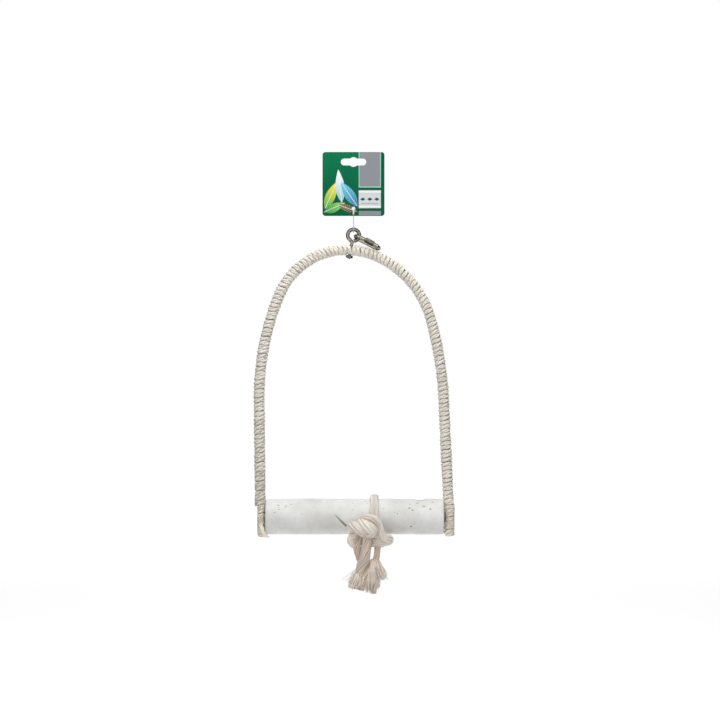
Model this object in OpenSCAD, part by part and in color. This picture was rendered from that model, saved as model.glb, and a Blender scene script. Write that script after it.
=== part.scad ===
// Bird swing: a cement perch in a cord wound steel arch, hung by an eye bolt
// and a quick link, with a tied cotton rope and a header card.
// The origin is the middle of the card's hang slot. X runs along the perch,
// Y runs from front to back, and Z points up.

/* [Header card] */
// Width of the card
card_w = 62; // [56:1:90]
// Height of the card
card_h = 64; // [58:1:80]
// Thickness of the board
card_t = 0.6; // [0.4:0.1:1.2]
// Radius of the card's corners
card_corner_r = 3; // [1:0.5:6]
// Height of the slot's middle below the top edge
slot_drop = 10; // [9:0.5:14]
// Length of the hang slot
slot_l = 25.4; // [24:0.2:32]
// Height of the slot's two wings
slot_h = 6.8; // [6:0.2:8]
// Diameter of the round middle of the slot
slot_hub_d = 9.6; // [9:0.2:12]
// Diameter of the hole that the tag loop passes
tag_hole_d = 3.6; // [3.2:0.2:5]
// Height of that hole above the card's bottom edge
tag_hole_rise = 7.5; // [5:0.5:12]

/* [Tag loop] */
// Diameter of the plastic strand
strand_d = 1; // [0.6:0.1:1.2]
// Distance between the loop's two round ends
loop_l = 20.9; // [18:0.1:60]
// Width of the lock on the loop's front leg
lock_w = 2.4; // [2:0.1:3]
// Length of the lock
lock_l = 7; // [4:0.5:9]

/* [Eye bolt] */
// Outer diameter of the eye
eye_d = 15.4; // [14:0.2:20]
// Diameter of the eye's wire
eye_wire_d = 3.8; // [3.4:0.1:4]
// Diameter of the shank
shank_d = 3.4; // [3:0.1:3.4]
// Distance from the middle of the eye to the middle of the arch
eye_standoff = 15.1; // [14:0.1:24]
// Lean of the bolt to the left below the eye, in degrees
bolt_lean = 11; // [0:1:14]
// Width of the nut across its flats
nut_af = 6.2; // [6:0.1:8]
// Height of the nut
nut_h = 3; // [2:0.1:4]
// Length of thread below the nut
thread_tail = 1.2; // [0.5:0.1:3]

/* [Arch] */
// Height of the arch from the perch's axis to the top of its centreline
arch_h = 266.7; // [240:1:320]
// Place of the arch's highest point along the perch
apex_x = -8.2; // [-12:0.2:4]
// Diameter of the steel rod
rod_d = 6; // [5.4:0.2:6.4]
// Thickness of the cord where it is wound on the rod
cord_t = 3.1; // [2.6:0.1:3.6]
// Height of the ridge that each turn makes
ridge_h = 0.9; // [0.5:0.1:1.2]
// Distance from one turn of the cord to the next
pitch = 4.4; // [4:0.1:8]
// Depth below the arch's top at which the left leg begins to bow
left_drop = 150; // [130:0.5:165]
// Lean of the left leg towards the middle, in degrees
left_lean = -0.6; // [-2:0.1:2]
// Radius of the left leg's upper bow
left_bow_r = 270; // [200:5:300]
// Turn of that bow, in degrees
left_bow_turn = 22.5; // [16:0.5:25]
// Depth below the arch's top at which the right leg begins to bow
right_drop = 150; // [140:0.5:165]
// Lean of the right leg towards the middle, in degrees
right_lean = 2.6; // [1:0.1:4]
// Radius of the right leg's upper bow
right_bow_r = 360; // [300:5:400]
// Turn of that bow, in degrees
right_bow_turn = 13.2; // [12:0.1:16]

/* [Feet of the arch] */
// Thickness of the flattened foot
tab_t = 2.4; // [2:0.1:3]
// Width of the flattened foot
tab_w = 9; // [8:0.5:11]
// Reach of the foot below the perch's axis
tab_drop = 18.5; // [14:0.5:24]
// Height above the perch's axis at which the round rod begins
rod_rise = 13; // [11:0.5:20]
// Thickness of the cord that binds the foot
bind_t = 2.2; // [1.8:0.1:2.6]

/* [Perch] */
// Length of the perch
perch_l = 178; // [150:1:240]
// Diameter of the perch
perch_d = 36; // [30:1:44]
// Place of the perch's middle along X
perch_x = 1.2; // [-3:0.1:3]
// Rounding of the perch's edges
perch_edge_r = 2.2; // [1:0.2:4]
// Diameter of the dowel inside the cement
core_d = 14; // [12:0.5:20]
// Thickness of the washers at the perch's ends
washer_t = 1.9; // [1:0.1:3]
// Diameter of those washers
washer_d = 11; // [10:0.5:14]
// Diameter of the perch screws
screw_d = 3.5; // [3:0.1:4]
// Length of the perch screws
screw_l = 32; // [25:1:40]
// Diameter of the screw heads
screw_head_d = 6.6; // [6:0.1:7]

/* [Quick link] */
// Overall length of the link
link_l = 30; // [28:0.5:36]
// Overall width of the link
link_w = 13.4; // [12.8:0.2:14]
// Diameter of the link's wire
link_wire_d = 3.4; // [3:0.1:3.4]
// Turn of the link about its own length, in degrees
link_twist = 76; // [60:1:90]
// Length of the threaded sleeve
sleeve_l = 9.6; // [8:0.2:9.6]
// Width of the sleeve across its flats
sleeve_af = 5.4; // [5:0.1:5.6]
// Width of the gap that the sleeve closes
link_gap = 4; // [3:0.1:4]

/* [Tied rope] */
// Diameter of the rope's strand
strand_rope_d = 8.4; // [7:0.1:9]
// Thickness of the strand where it lies flat on the perch
rope_flat = 4.4; // [4:0.1:7]
// Place of the rope along the perch
rope_x = 20.7; // [0:0.1:30]

/* [Hidden] */
$fn = 48;

// Clearances and cuts
overrun = 1;
fit_gap = 0.1;
soft_gap = 0.3;
strand_gap = 0.2;
bolt_gap = 0.2;

// The tag hole and the loop
tag_hole_z = slot_drop - card_h + tag_hole_rise;
loop_top_r = card_t / 2 + strand_gap + strand_d / 2;
loop_low_r = eye_wire_d / 2 + strand_gap + strand_d / 2;
loop_slant = asin((loop_low_r - loop_top_r) / loop_l);

// The eye bolt
eye_r = (eye_d - eye_wire_d) / 2;
eye_top_z = tag_hole_z - loop_l;
eye_z = eye_top_z - eye_r;

// The arch, with each side as a straight leg, a bow, a shoulder and a crown
wrap_r = rod_d / 2 + cord_t;
bind_x = tab_t / 2 + bind_t;
bind_y = tab_w / 2 + bind_t;
left_foot_x = perch_x - perch_l / 2 - washer_t - bind_x;
right_foot_x = perch_x + perch_l / 2 + washer_t + bind_x;
break_turn = 60;
left_leg = (arch_h - left_drop) / cos(left_lean);
right_leg = (arch_h - right_drop) / cos(right_lean);
left_bend = left_lean + left_bow_turn;
right_bend = right_lean + right_bow_turn;

function bow_end(leg, lean, bow_r, bend) = [
    leg * sin(lean) + bow_r * (cos(lean) - cos(bend)),
    leg * cos(lean) + bow_r * (sin(bend) - sin(lean))];

// Radii of the shoulder and the crown that join the bow to the level apex
function closing_radii(reach, rise, bend) =
    let (a = cos(bend) - cos(break_turn), b = cos(break_turn))
    let (c = sin(break_turn) - sin(bend), d = 1 - sin(break_turn))
    let (whole = a * d - b * c)
    [(reach * d - b * rise) / whole, (a * rise - c * reach) / whole];

left_bow_end = bow_end(left_leg, left_lean, left_bow_r, left_bend);
right_bow_end = bow_end(right_leg, right_lean, right_bow_r, right_bend);
left_radii = closing_radii(apex_x - left_foot_x - left_bow_end[0],
    arch_h - left_bow_end[1], left_bend);
right_radii = closing_radii(right_foot_x - apex_x - right_bow_end[0],
    arch_h - right_bow_end[1], right_bend);

// The bolt crosses the rod a little right of the apex
cross_x = -eye_standoff * sin(bolt_lean);
cross_z = eye_z - eye_standoff * cos(bolt_lean);
crown_r = cross_x < apex_x ? left_radii[1] : right_radii[1];
cross_turn = asin((cross_x - apex_x) / crown_r);
apex_z = cross_z + crown_r * (1 - cos(cross_turn));
perch_z = apex_z - arch_h;

// One side of the centreline as arcs: radius, first and last direction, start
function side_arcs(leg, lean, bow_r, bend, radii) =
    let (p1 = [leg * sin(lean), leg * cos(lean)])
    let (p2 = bow_end(leg, lean, bow_r, bend))
    let (p3 = p2 + radii[0] * [cos(bend) - cos(break_turn), sin(break_turn) - sin(bend)])
    [[bow_r, lean, bend, p1], [radii[0], bend, break_turn, p2],
        [radii[1], break_turn, 90, p3]];

left_arcs = side_arcs(left_leg, left_lean, left_bow_r, left_bend, left_radii);
right_arcs = side_arcs(right_leg, right_lean, right_bow_r, right_bend, right_radii);

function arc_l(arc) = arc[0] * (arc[2] - arc[1]) * PI / 180;
function side_l(leg, arcs) = leg + arc_l(arcs[0]) + arc_l(arcs[1]) + arc_l(arcs[2]);

// Place and direction on an arc, a length s from its start
function on_arc(arc, s) =
    let (turn = arc[1] + s / arc[0] * 180 / PI)
    [arc[3] + arc[0] * [cos(arc[1]) - cos(turn), sin(turn) - sin(arc[1])], turn];

function on_side(leg, lean, arcs, s) =
    s < leg ? [[s * sin(lean), s * cos(lean)], lean]
    : s < leg + arc_l(arcs[0]) ? on_arc(arcs[0], s - leg)
    : s < leg + arc_l(arcs[0]) + arc_l(arcs[1]) ? on_arc(arcs[1], s - leg - arc_l(arcs[0]))
    : on_arc(arcs[2], s - leg - arc_l(arcs[0]) - arc_l(arcs[1]));

left_l = side_l(left_leg, left_arcs);
right_l = side_l(right_leg, right_arcs);
arch_l = left_l + right_l;
cross_s = left_l + crown_r * cross_turn * PI / 180;

// Place on the whole centreline, from the left foot, with its outward normal
function on_arch(s) = s < left_l
    ? let (p = on_side(left_leg, left_lean, left_arcs, s))
        [[left_foot_x + p[0][0], 0, perch_z + p[0][1]], [-cos(p[1]), 0, sin(p[1])]]
    : let (p = on_side(right_leg, right_lean, right_arcs, arch_l - s))
        [[right_foot_x - p[0][0], 0, perch_z + p[0][1]], [cos(p[1]), 0, sin(p[1])]];

// Half the space that the turns leave for the bolt
bolt_space = shank_d / 2 + bolt_gap + wrap_r * sin(bolt_lean);

// Depth of the perch screws' heads
head_h = (screw_head_d - screw_d) / 2;

// The link, whose far end rests on the wound crown
link_r = (link_w - link_wire_d) / 2;
link_run = link_l - link_wire_d - 2 * link_r;
link_seat = eye_r - eye_wire_d / 2 - link_wire_d / 2 - fit_gap;
tip_reach = link_seat + link_l - link_wire_d;
crown_drop = [apex_x, apex_z - right_radii[1]] - [0, eye_z];
crown_far = norm(crown_drop);
tip_far = right_radii[1] + wrap_r + link_wire_d / 2 + soft_gap;
tip_angle = acos((tip_reach * tip_reach + crown_far * crown_far - tip_far * tip_far)
    / (2 * tip_reach * crown_far));
link_dip = atan2(-crown_drop[1], crown_drop[0]) - tip_angle;
sleeve_end_gap = 1.4;
thread_cover = 0.6;
sleeve_start = link_r + link_run - sleeve_l - sleeve_end_gap;
gap_start = sleeve_start + sleeve_l - link_gap - thread_cover;

// The rope
loop_r = perch_d / 2 + soft_gap + rope_flat / 2;

// Rounds the corners of a route with a smooth curve, in equal steps a span
steps = 3;
function spline(a, b, c, d, t) = 0.5 * ((2 * b) + (c - a) * t
    + (2 * a - 5 * b + 4 * c - d) * t * t + (3 * b - a - 3 * c + d) * t * t * t);
function smooth(p) = let (n = len(p) - 1) [
    for (i = [0:n - 1], k = [0:steps - 1])
        spline(p[max(i - 1, 0)], p[i], p[i + 1], p[min(i + 2, n)], k / steps), p[n]];
function unit(v) = v / norm(v);
function tangents(p) = let (n = len(p) - 1) [
    for (i = [0:n]) unit(p[min(i + 1, n)] - p[max(i - 1, 0)])];
function side_of(n, t) = unit(n - (n * t) * t);
first_side = [0.1, 1, 0.2];
function across(t) = let (n = len(t)) [
    for (i = 0, v = side_of(first_side, t[0]); i < n;
        i = i + 1, v = i < n ? side_of(v, t[i]) : v) v];

// A tube along points of x, y, z and radius
tube_sides = 8;
module tube(route) {
    line = smooth(route);
    centres = [for (p = line) [p[0], p[1], p[2]]];
    t = tangents(centres);
    v = across(t);
    n = len(line);
    points = [for (i = [0:n - 1], k = [0:tube_sides - 1])
        centres[i] + line[i][3] * (cos(360 * k / tube_sides) * v[i]
            + sin(360 * k / tube_sides) * cross(t[i], v[i]))];
    walls = [for (i = [0:n - 2], k = [0:tube_sides - 1])
        let (a = i * tube_sides + k, b = i * tube_sides + (k + 1) % tube_sides)
        each [[a, a + tube_sides, b], [b, a + tube_sides, b + tube_sides]]];
    ends = [for (k = [1:tube_sides - 2])
        each [[0, k, k + 1],
            [(n - 1) * tube_sides, (n - 1) * tube_sides + k + 1, (n - 1) * tube_sides + k]]];
    polyhedron(points = points, faces = concat(walls, ends), convexity = 6);
}

// The wound cord as one skin with a ridge that climbs without a break.
// Each turn has turn_steps places on its crest and as many in its valley.
turn_steps = 8;
bore_share = 1 / cos(180 / turn_steps);
function on_skin(s, k, r) = let (p = on_arch(s))
    p[0] + r * (cos(360 * k / turn_steps) * p[1]
        + sin(360 * k / turn_steps) * [0, 1, 0]);

function turns_in(from, to) = floor((to - from) / pitch) - 1;
module winding(from, to) {
    turns = turns_in(from, to);
    step = (to - from) / (turns + 1);
    m = turns * turn_steps;
    crest = [for (i = [0:m]) on_skin(from + step * i / turn_steps, i, wrap_r)];
    valley = [for (i = [0:m - turn_steps])
        on_skin(from + step * (i / turn_steps + 0.5), i, wrap_r - ridge_h)];
    bore_rings = ceil((to - from) / wrap_r);
    bore = [for (j = [0:bore_rings], k = [0:turn_steps - 1])
        on_skin(from + (to - from) * j / bore_rings, k,
            (rod_d / 2 + fit_gap) * bore_share)];
    low = [for (k = [0:turn_steps - 1]) on_skin(from, k, wrap_r - ridge_h)];
    high = [for (k = [0:turn_steps - 1]) on_skin(to, k, wrap_r - ridge_h)];
    c0 = 0;
    v0 = len(crest);
    b0 = v0 + len(valley);
    l0 = b0 + len(bore);
    h0 = l0 + turn_steps;
    wrap = m - turn_steps;
    flanks = [for (i = [0:wrap - 1]) each [
        [c0 + i, c0 + i + 1, v0 + i], [c0 + i + 1, v0 + i + 1, v0 + i],
        [v0 + i, v0 + i + 1, c0 + i + turn_steps],
        [v0 + i + 1, c0 + i + turn_steps + 1, c0 + i + turn_steps]]];
    skirt = [for (k = [0:turn_steps - 1]) let (j = (k + 1) % turn_steps) each [
        [l0 + k, l0 + j, c0 + k], [l0 + j, c0 + k + 1, c0 + k],
        [b0 + k, b0 + j, l0 + k], [b0 + j, l0 + j, l0 + k]]];
    seam = [[l0, c0 + turn_steps, v0], [l0, v0, c0]];
    t0 = c0 + m - turn_steps;
    top = [for (k = [0:turn_steps - 1]) let (j = (k + 1) % turn_steps) each [
        [t0 + k, t0 + k + 1, h0 + k], [t0 + k + 1, h0 + j, h0 + k],
        [h0 + k, h0 + j, b0 + bore_rings * turn_steps + k],
        [h0 + j, b0 + bore_rings * turn_steps + j, b0 + bore_rings * turn_steps + k]]];
    cap = [[t0, h0, v0 + wrap], [v0 + wrap, h0, t0 + turn_steps]];
    inner = [for (j = [0:bore_rings - 1], k = [0:turn_steps - 1])
        let (a = b0 + j * turn_steps + k, b = b0 + j * turn_steps + (k + 1) % turn_steps)
        each [[a, a + turn_steps, b], [b, a + turn_steps, b + turn_steps]]];
    polyhedron(points = concat(crest, valley, bore, low, high),
        faces = concat(flanks, skirt, seam, top, cap, inner), convexity = 10);
}

// The round part of the rod, whose flats match the bore of the winding
module round_rod() {
    rings = ceil(arch_l / wrap_r);
    run = arch_l - 2 * rod_rise;
    points = [for (j = [0:rings], k = [0:turn_steps - 1])
        on_skin(rod_rise + run * j / rings, k, rod_d / 2 * bore_share)];
    walls = [for (j = [0:rings - 1], k = [0:turn_steps - 1])
        let (a = j * turn_steps + k, b = j * turn_steps + (k + 1) % turn_steps)
        each [[a, b, a + turn_steps], [b, b + turn_steps, a + turn_steps]]];
    last = rings * turn_steps;
    ends = [for (k = [1:turn_steps - 2]) each [
        [0, k + 1, k], [last, last + k, last + k + 1]]];
    polyhedron(points = points, faces = concat(walls, ends), convexity = 6);
}

// A flattened foot of the rod, drilled for the perch screw
module rod_foot(foot, side) {
    translate([foot, 0, perch_z]) difference() {
        union() {
            translate([-tab_t / 2, -tab_w / 2, tab_w / 2 - tab_drop])
                cube([tab_t, tab_w, tab_drop - tab_w / 2 + rod_rise]);
            translate([0, 0, rod_rise]) cube([tab_t, rod_d / 2, 2 * tab_t], center = true);
            translate([-tab_t / 2, 0, tab_w / 2 - tab_drop])
                rotate([0, 90, 0]) cylinder(h = tab_t, d = tab_w);
        }
        screw_hole(side, screw_d + 2 * fit_gap);
    }
}

// The hole for a perch screw, with the seat of its head on the outer face
module screw_hole(side, d) {
    rotate([0, side * 90, 0]) {
        translate([0, 0, -tab_t]) cylinder(h = 2 * tab_t, d = d);
        translate([0, 0, tab_t / 2 - head_h])
            cylinder(h = head_h, d1 = d, d2 = screw_head_d + 2 * fit_gap);
    }
}

// Puts a piece on the bolt's axis, with the middle of the eye at zero
module on_bolt() {
    translate([0, 0, eye_z]) rotate([0, bolt_lean, 0]) children();
}

module arch_rod() {
    color("darkgray") difference() {
        union() {
            round_rod();
            rod_foot(left_foot_x, -1);
            rod_foot(right_foot_x, 1);
        }
        on_bolt() translate([0, 0, -eye_standoff - rod_d])
            cylinder(h = 2 * rod_d, d = shank_d + 2 * fit_gap);
    }
}

module arch_winding_left() {
    color("tan") winding(rod_rise + fit_gap, cross_s - bolt_space);
}

module arch_winding_right() {
    color("tan") winding(cross_s + bolt_space, arch_l - rod_rise - fit_gap);
}

// The cord that binds a flattened foot, with a ridge that climbs round it
module binding_skin(low, high) {
    turns = turns_in(low, high);
    step = (high - low) / (turns + 1);
    m = turns * turn_steps;
    function at(s, i, inset) = [(bind_x - inset) * cos(360 * i / turn_steps),
        (bind_y - inset) * sin(360 * i / turn_steps), s];
    crest = [for (i = [0:m]) at(low + step * i / turn_steps, i, 0)];
    valley = [for (i = [0:m - turn_steps])
        at(low + step * (i / turn_steps + 0.5), i, ridge_h)];
    bottom = [for (k = [0:turn_steps - 1]) at(low, k, ridge_h)];
    top = [for (k = [0:turn_steps - 1]) at(high, k, ridge_h)];
    v0 = len(crest);
    l0 = v0 + len(valley);
    h0 = l0 + turn_steps;
    wrap = m - turn_steps;
    flanks = [for (i = [0:wrap - 1]) each [
        [i, v0 + i, i + 1], [i + 1, v0 + i, v0 + i + 1],
        [v0 + i, i + turn_steps, v0 + i + 1],
        [v0 + i + 1, i + turn_steps, i + turn_steps + 1]]];
    skirt = [for (k = [0:turn_steps - 1]) let (j = (k + 1) % turn_steps) each [
        [l0 + k, k, l0 + j], [l0 + j, k, k + 1]]];
    seam = [[l0, v0, turn_steps], [l0, 0, v0]];
    upper = [for (k = [0:turn_steps - 1]) let (j = (k + 1) % turn_steps) each [
        [wrap + k, h0 + k, wrap + k + 1], [wrap + k + 1, h0 + k, h0 + j]]];
    cap = [[wrap, v0 + wrap, h0], [v0 + wrap, wrap + turn_steps, h0]];
    ends = [for (k = [1:turn_steps - 2]) each [
        [l0, l0 + k + 1, l0 + k], [h0, h0 + k, h0 + k + 1]]];
    polyhedron(points = concat(crest, valley, bottom, top),
        faces = concat(flanks, skirt, seam, upper, cap, ends), convexity = 8);
}

module foot_binding(foot, side) {
    color("tan") translate([foot, 0, perch_z]) difference() {
        binding_skin(-tab_drop - bind_t, rod_rise);
        translate([-tab_t / 2 - fit_gap, -tab_w / 2 - fit_gap, -tab_drop - fit_gap])
            cube([tab_t + 2 * fit_gap, tab_w + 2 * fit_gap, tab_drop + rod_rise + overrun]);
        rotate([0, -side * 90, 0]) cylinder(h = bind_x + overrun, d = screw_d + 2 * fit_gap);
    }
}
module foot_binding_left() { foot_binding(left_foot_x, -1); }
module foot_binding_right() { foot_binding(right_foot_x, 1); }

module eye_bolt() {
    color("silver") {
        translate([0, 0, eye_z]) rotate([90, 0, 0]) rotate_extrude()
            translate([eye_r, 0]) circle(d = eye_wire_d);
        on_bolt() translate([0, 0, -eye_standoff - wrap_r - nut_h - thread_tail])
            cylinder(h = eye_standoff + wrap_r + nut_h + thread_tail - eye_r, d = shank_d);
    }
}

module eye_nut() {
    color("gray") on_bolt() translate([0, 0, -eye_standoff - wrap_r - nut_h])
        difference() {
            cylinder(h = nut_h, d = nut_af / cos(30), $fn = 6);
            translate([0, 0, -overrun])
                cylinder(h = nut_h + 2 * overrun, d = shank_d + fit_gap);
        }
}

module along_perch() { translate([perch_x, 0, perch_z]) rotate([0, 90, 0]) children(); }

module perch_shell() {
    bore_r = core_d / 2 + fit_gap;
    color("lightgray") along_perch() rotate_extrude($fn = 96) {
        translate([bore_r, -perch_l / 2])
            square([perch_d / 2 - perch_edge_r - bore_r, perch_l]);
        translate([bore_r, perch_edge_r - perch_l / 2])
            square([perch_d / 2 - bore_r, perch_l - 2 * perch_edge_r]);
        for (end = [-1, 1])
            translate([perch_d / 2 - perch_edge_r, end * (perch_l / 2 - perch_edge_r)])
                circle(r = perch_edge_r);
    }
}

module perch_core() {
    color("burlywood") along_perch() difference() {
        translate([0, 0, -perch_l / 2]) cylinder(h = perch_l, d = core_d);
        for (end = [-1, 1]) translate([0, 0, end * perch_l / 2])
            cylinder(h = 2 * screw_l, d = screw_d + fit_gap, center = true);
    }
}

module perch_washer(side) {
    color("gray") translate([perch_x + side * (perch_l / 2 + washer_t / 2), 0, perch_z])
        rotate([0, 90, 0]) difference() {
            cylinder(h = washer_t, d = washer_d, center = true);
            cylinder(h = 2 * washer_t, d = screw_d + 2 * fit_gap, center = true);
        }
}
module perch_washer_left() { perch_washer(-1); }
module perch_washer_right() { perch_washer(1); }

module perch_screw(foot, side) {
    color("dimgray") translate([foot, 0, perch_z]) rotate([0, side * 90, 0])
        translate([0, 0, tab_t / 2]) rotate_extrude() polygon([
            [0, -screw_l], [screw_d / 2, -screw_l], [screw_d / 2, -head_h],
            [screw_head_d / 2, 0], [0, 0]]);
}
module perch_screw_left() { perch_screw(left_foot_x, -1); }
module perch_screw_right() { perch_screw(right_foot_x, 1); }

// Puts a piece on the link, whose near end hangs in the eye
module on_link() {
    translate([0, 0, eye_z]) rotate([0, link_dip, 0]) translate([link_seat, 0, 0])
        rotate([link_twist - 90, 0, 0]) children();
}
module link_body() {
    color("silver") on_link() {
        translate([link_r, 0, 0]) rotate([0, 0, 90])
            rotate_extrude(angle = 180) translate([link_r, 0]) circle(d = link_wire_d);
        translate([link_r + link_run, 0, 0]) rotate([0, 0, -90])
            rotate_extrude(angle = 180) translate([link_r, 0]) circle(d = link_wire_d);
        translate([link_r, link_r, 0]) rotate([0, 90, 0])
            cylinder(h = link_run, d = link_wire_d);
        translate([link_r, -link_r, 0]) rotate([0, 90, 0])
            cylinder(h = gap_start - link_r, d = link_wire_d);
        translate([gap_start + link_gap, -link_r, 0]) rotate([0, 90, 0])
            cylinder(h = link_run + link_r - gap_start - link_gap, d = link_wire_d);
    }
}

module link_sleeve() {
    color("gray") on_link() translate([sleeve_start, -link_r, 0]) rotate([0, 90, 0])
        difference() {
            cylinder(h = sleeve_l, d = sleeve_af / cos(30), $fn = 6);
            translate([0, 0, -overrun])
                cylinder(h = sleeve_l + 2 * overrun, d = link_wire_d + 2 * fit_gap);
        }
}

// A plate outline with round corners in the plane of the card
module round_plate(w, h, r) {
    translate([r - w / 2, -h / 2]) square([w - 2 * r, h]);
    translate([-w / 2, r - h / 2]) square([w, h - 2 * r]);
    for (x = [-1, 1], y = [-1, 1])
        translate([x * (w / 2 - r), y * (h / 2 - r)]) circle(r = r);
}

module header_card() {
    color("seagreen") translate([0, card_t / 2, 0]) rotate([90, 0, 0])
        linear_extrude(card_t) difference() {
            translate([0, slot_drop - card_h / 2]) round_plate(card_w, card_h, card_corner_r);
            square([slot_l - slot_h, slot_h], center = true);
            for (x = [-1, 1]) translate([x * (slot_l - slot_h) / 2, 0]) circle(d = slot_h);
            circle(d = slot_hub_d);
            translate([0, tag_hole_z]) circle(d = tag_hole_d);
        }
}

// The strand runs round two arcs, joined by its front and back legs
loop_steps = 10;
module tag_loop() {
    low_turn = 180 + 2 * loop_slant;
    high_turn = 180 - 2 * loop_slant;
    line = concat(
        [for (i = [0:loop_steps]) let (a = loop_slant + high_turn * i / loop_steps)
            [tag_hole_z, loop_top_r, a]],
        [for (i = [0:loop_steps]) let (a = 180 - loop_slant + low_turn * i / loop_steps)
            [eye_top_z, loop_low_r, a]]);
    n = len(line) * tube_sides;
    points = [for (p = line, k = [0:tube_sides - 1])
        let (r = p[1] + strand_d / 2 * cos(360 * k / tube_sides))
        [strand_d / 2 * sin(360 * k / tube_sides), r * cos(p[2]), p[0] + r * sin(p[2])]];
    color("whitesmoke") polyhedron(points = points, convexity = 4,
        faces = [for (i = [0:len(line) - 1], k = [0:tube_sides - 1])
            let (a = i * tube_sides + k, b = i * tube_sides + (k + 1) % tube_sides)
            each [[a, b, (a + tube_sides) % n],
                [b, (b + tube_sides) % n, (a + tube_sides) % n]]]);
}

// The lock has a bore for the loop's front leg and a slot for its top bend
module tag_lock() {
    lock_t = lock_w - strand_gap;
    bore_d = strand_d + 2 * fit_gap;
    color("white") difference() {
        translate([-lock_w / 2, -card_t / 2 - strand_gap - lock_t,
            tag_hole_z + strand_d - lock_l])
            cube([lock_w, lock_t, lock_l]);
        translate([0, 0, tag_hole_z]) rotate([0, 90, 0])
            cylinder(h = bore_d, r = loop_top_r + bore_d / 2, center = true);
        translate([0, 0, tag_hole_z]) rotate([-loop_slant, 0, 0])
            translate([0, -loop_top_r, -loop_l]) cylinder(h = loop_l, d = bore_d);
    }
}

// Rope pieces are tubes along points that are measured from the perch's axis
module on_rope() { translate([rope_x, 0, perch_z]) children(); }

module rope_loop() {
    spread = strand_rope_d - rope_flat;
    color("wheat") on_rope() rotate([0, 90, 0]) rotate_extrude($fn = 96)
        translate([loop_r, 0]) {
            square([rope_flat, spread], center = true);
            for (s = [-1, 1]) translate([0, s * spread / 2]) circle(d = rope_flat, $fn = 24);
        }
}

knot_points = [
    [1, -22, 5, 4], [-3, -28, -0.5, 5.6], [-6, -31.5, -7, 7.2], [-13.5, -30, -10, 7],
    [-20, -26.5, -10.5, 6.4], [-22.8, -20, -19, 4.4], [-18, -18.5, -26.5, 4.4]];
bow_points = [
    [4.6, -27.5, -7, 4], [6.2, -25.5, -12.5, 4], [8, -22.8, -17.4, 4],
    [12, -19, -20.2, 4.1], [16, -14, -21, 4.3], [15.6, -10.6, -23.8, 4.4],
    [11, -11.8, -25, 5], [4.5, -15.2, -25.2, 5.2], [-3, -18.5, -24.4, 4.8]];
front_points = [
    [-8, -26, -18, 4.2], [-7.4, -26, -25, 4.2], [-8.8, -25.4, -32, 4.7],
    [-10.2, -24.2, -39, 5.1], [-12.6, -22, -46.5, 5.2], [-15, -19.6, -55, 4.5]];
back_points = [
    [-14.6, -21, -18, 4.4], [-15.8, -20, -23, 4.9], [-16.4, -18.4, -30, 4.7],
    [-14.4, -16.6, -38, 4.5], [-10.6, -17, -46, 4.5], [-9.4, -18.6, -54, 4.3]];
right_points = [
    [4.4, -16.4, -26, 3.6], [3.4, -16, -35, 3.1], [2.2, -16, -42, 3.4], [1, -16, -48, 4]];
left_tassel_points = [
    [-14, -19, -52, 5.6], [-15.6, -19.2, -58, 7], [-17.2, -19.4, -65, 8.2],
    [-18.2, -19.5, -70, 7.8]];
right_tassel_points = [
    [-0.4, -16, -41, 4.8], [-0.6, -16, -50, 7], [-0.6, -16.2, -60, 10],
    [-0.8, -16.4, -66, 10], [-1, -16.5, -76, 6.6]];

module rope_knot() {
    color("wheat") on_rope() { tube(knot_points); tube(bow_points); }
}
module rope_tail_front() { color("tan") on_rope() tube(front_points); }
module rope_tail_back() { color("tan") on_rope() tube(back_points); }
module rope_tail_right() { color("tan") on_rope() tube(right_points); }
module tassel_left() { color("burlywood") on_rope() tube(left_tassel_points); }
module tassel_right() { color("burlywood") on_rope() tube(right_tassel_points); }

// What the drawing comes to: heights, the cord's turns and the cord that they use
left_turns = turns_in(rod_rise, cross_s);
right_turns = turns_in(cross_s, arch_l - rod_rise);
turn_l = norm([PI * (rod_d + cord_t), pitch]);
echo(perch_z = perch_z, eye_z = eye_z, link_dip = link_dip, arch_l = arch_l);
echo(turns = [left_turns, right_turns], cord_l = turn_l * (left_turns + right_turns));
echo(least_gap_of_tag_loop = 2 * loop_top_r - strand_d);

header_card();
tag_loop();
tag_lock();
eye_bolt();
eye_nut();
arch_rod();
arch_winding_left();
arch_winding_right();
foot_binding_left();
foot_binding_right();
perch_shell();
perch_core();
perch_washer_left();
perch_washer_right();
perch_screw_left();
perch_screw_right();
link_body();
link_sleeve();
rope_loop();
rope_knot();
rope_tail_front();
rope_tail_back();
rope_tail_right();
tassel_left();
tassel_right();
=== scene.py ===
"""Looks of a bird swing: a cement perch in a cord wound arch, hung by an eye bolt
and a quick link, with a tied cotton rope and a header card."""

import logging
import math
from collections.abc import Sequence
from dataclasses import dataclass
from enum import Enum
from functools import cache

import bmesh
import bpy
import numpy as np
from mathutils import Matrix, Vector


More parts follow.
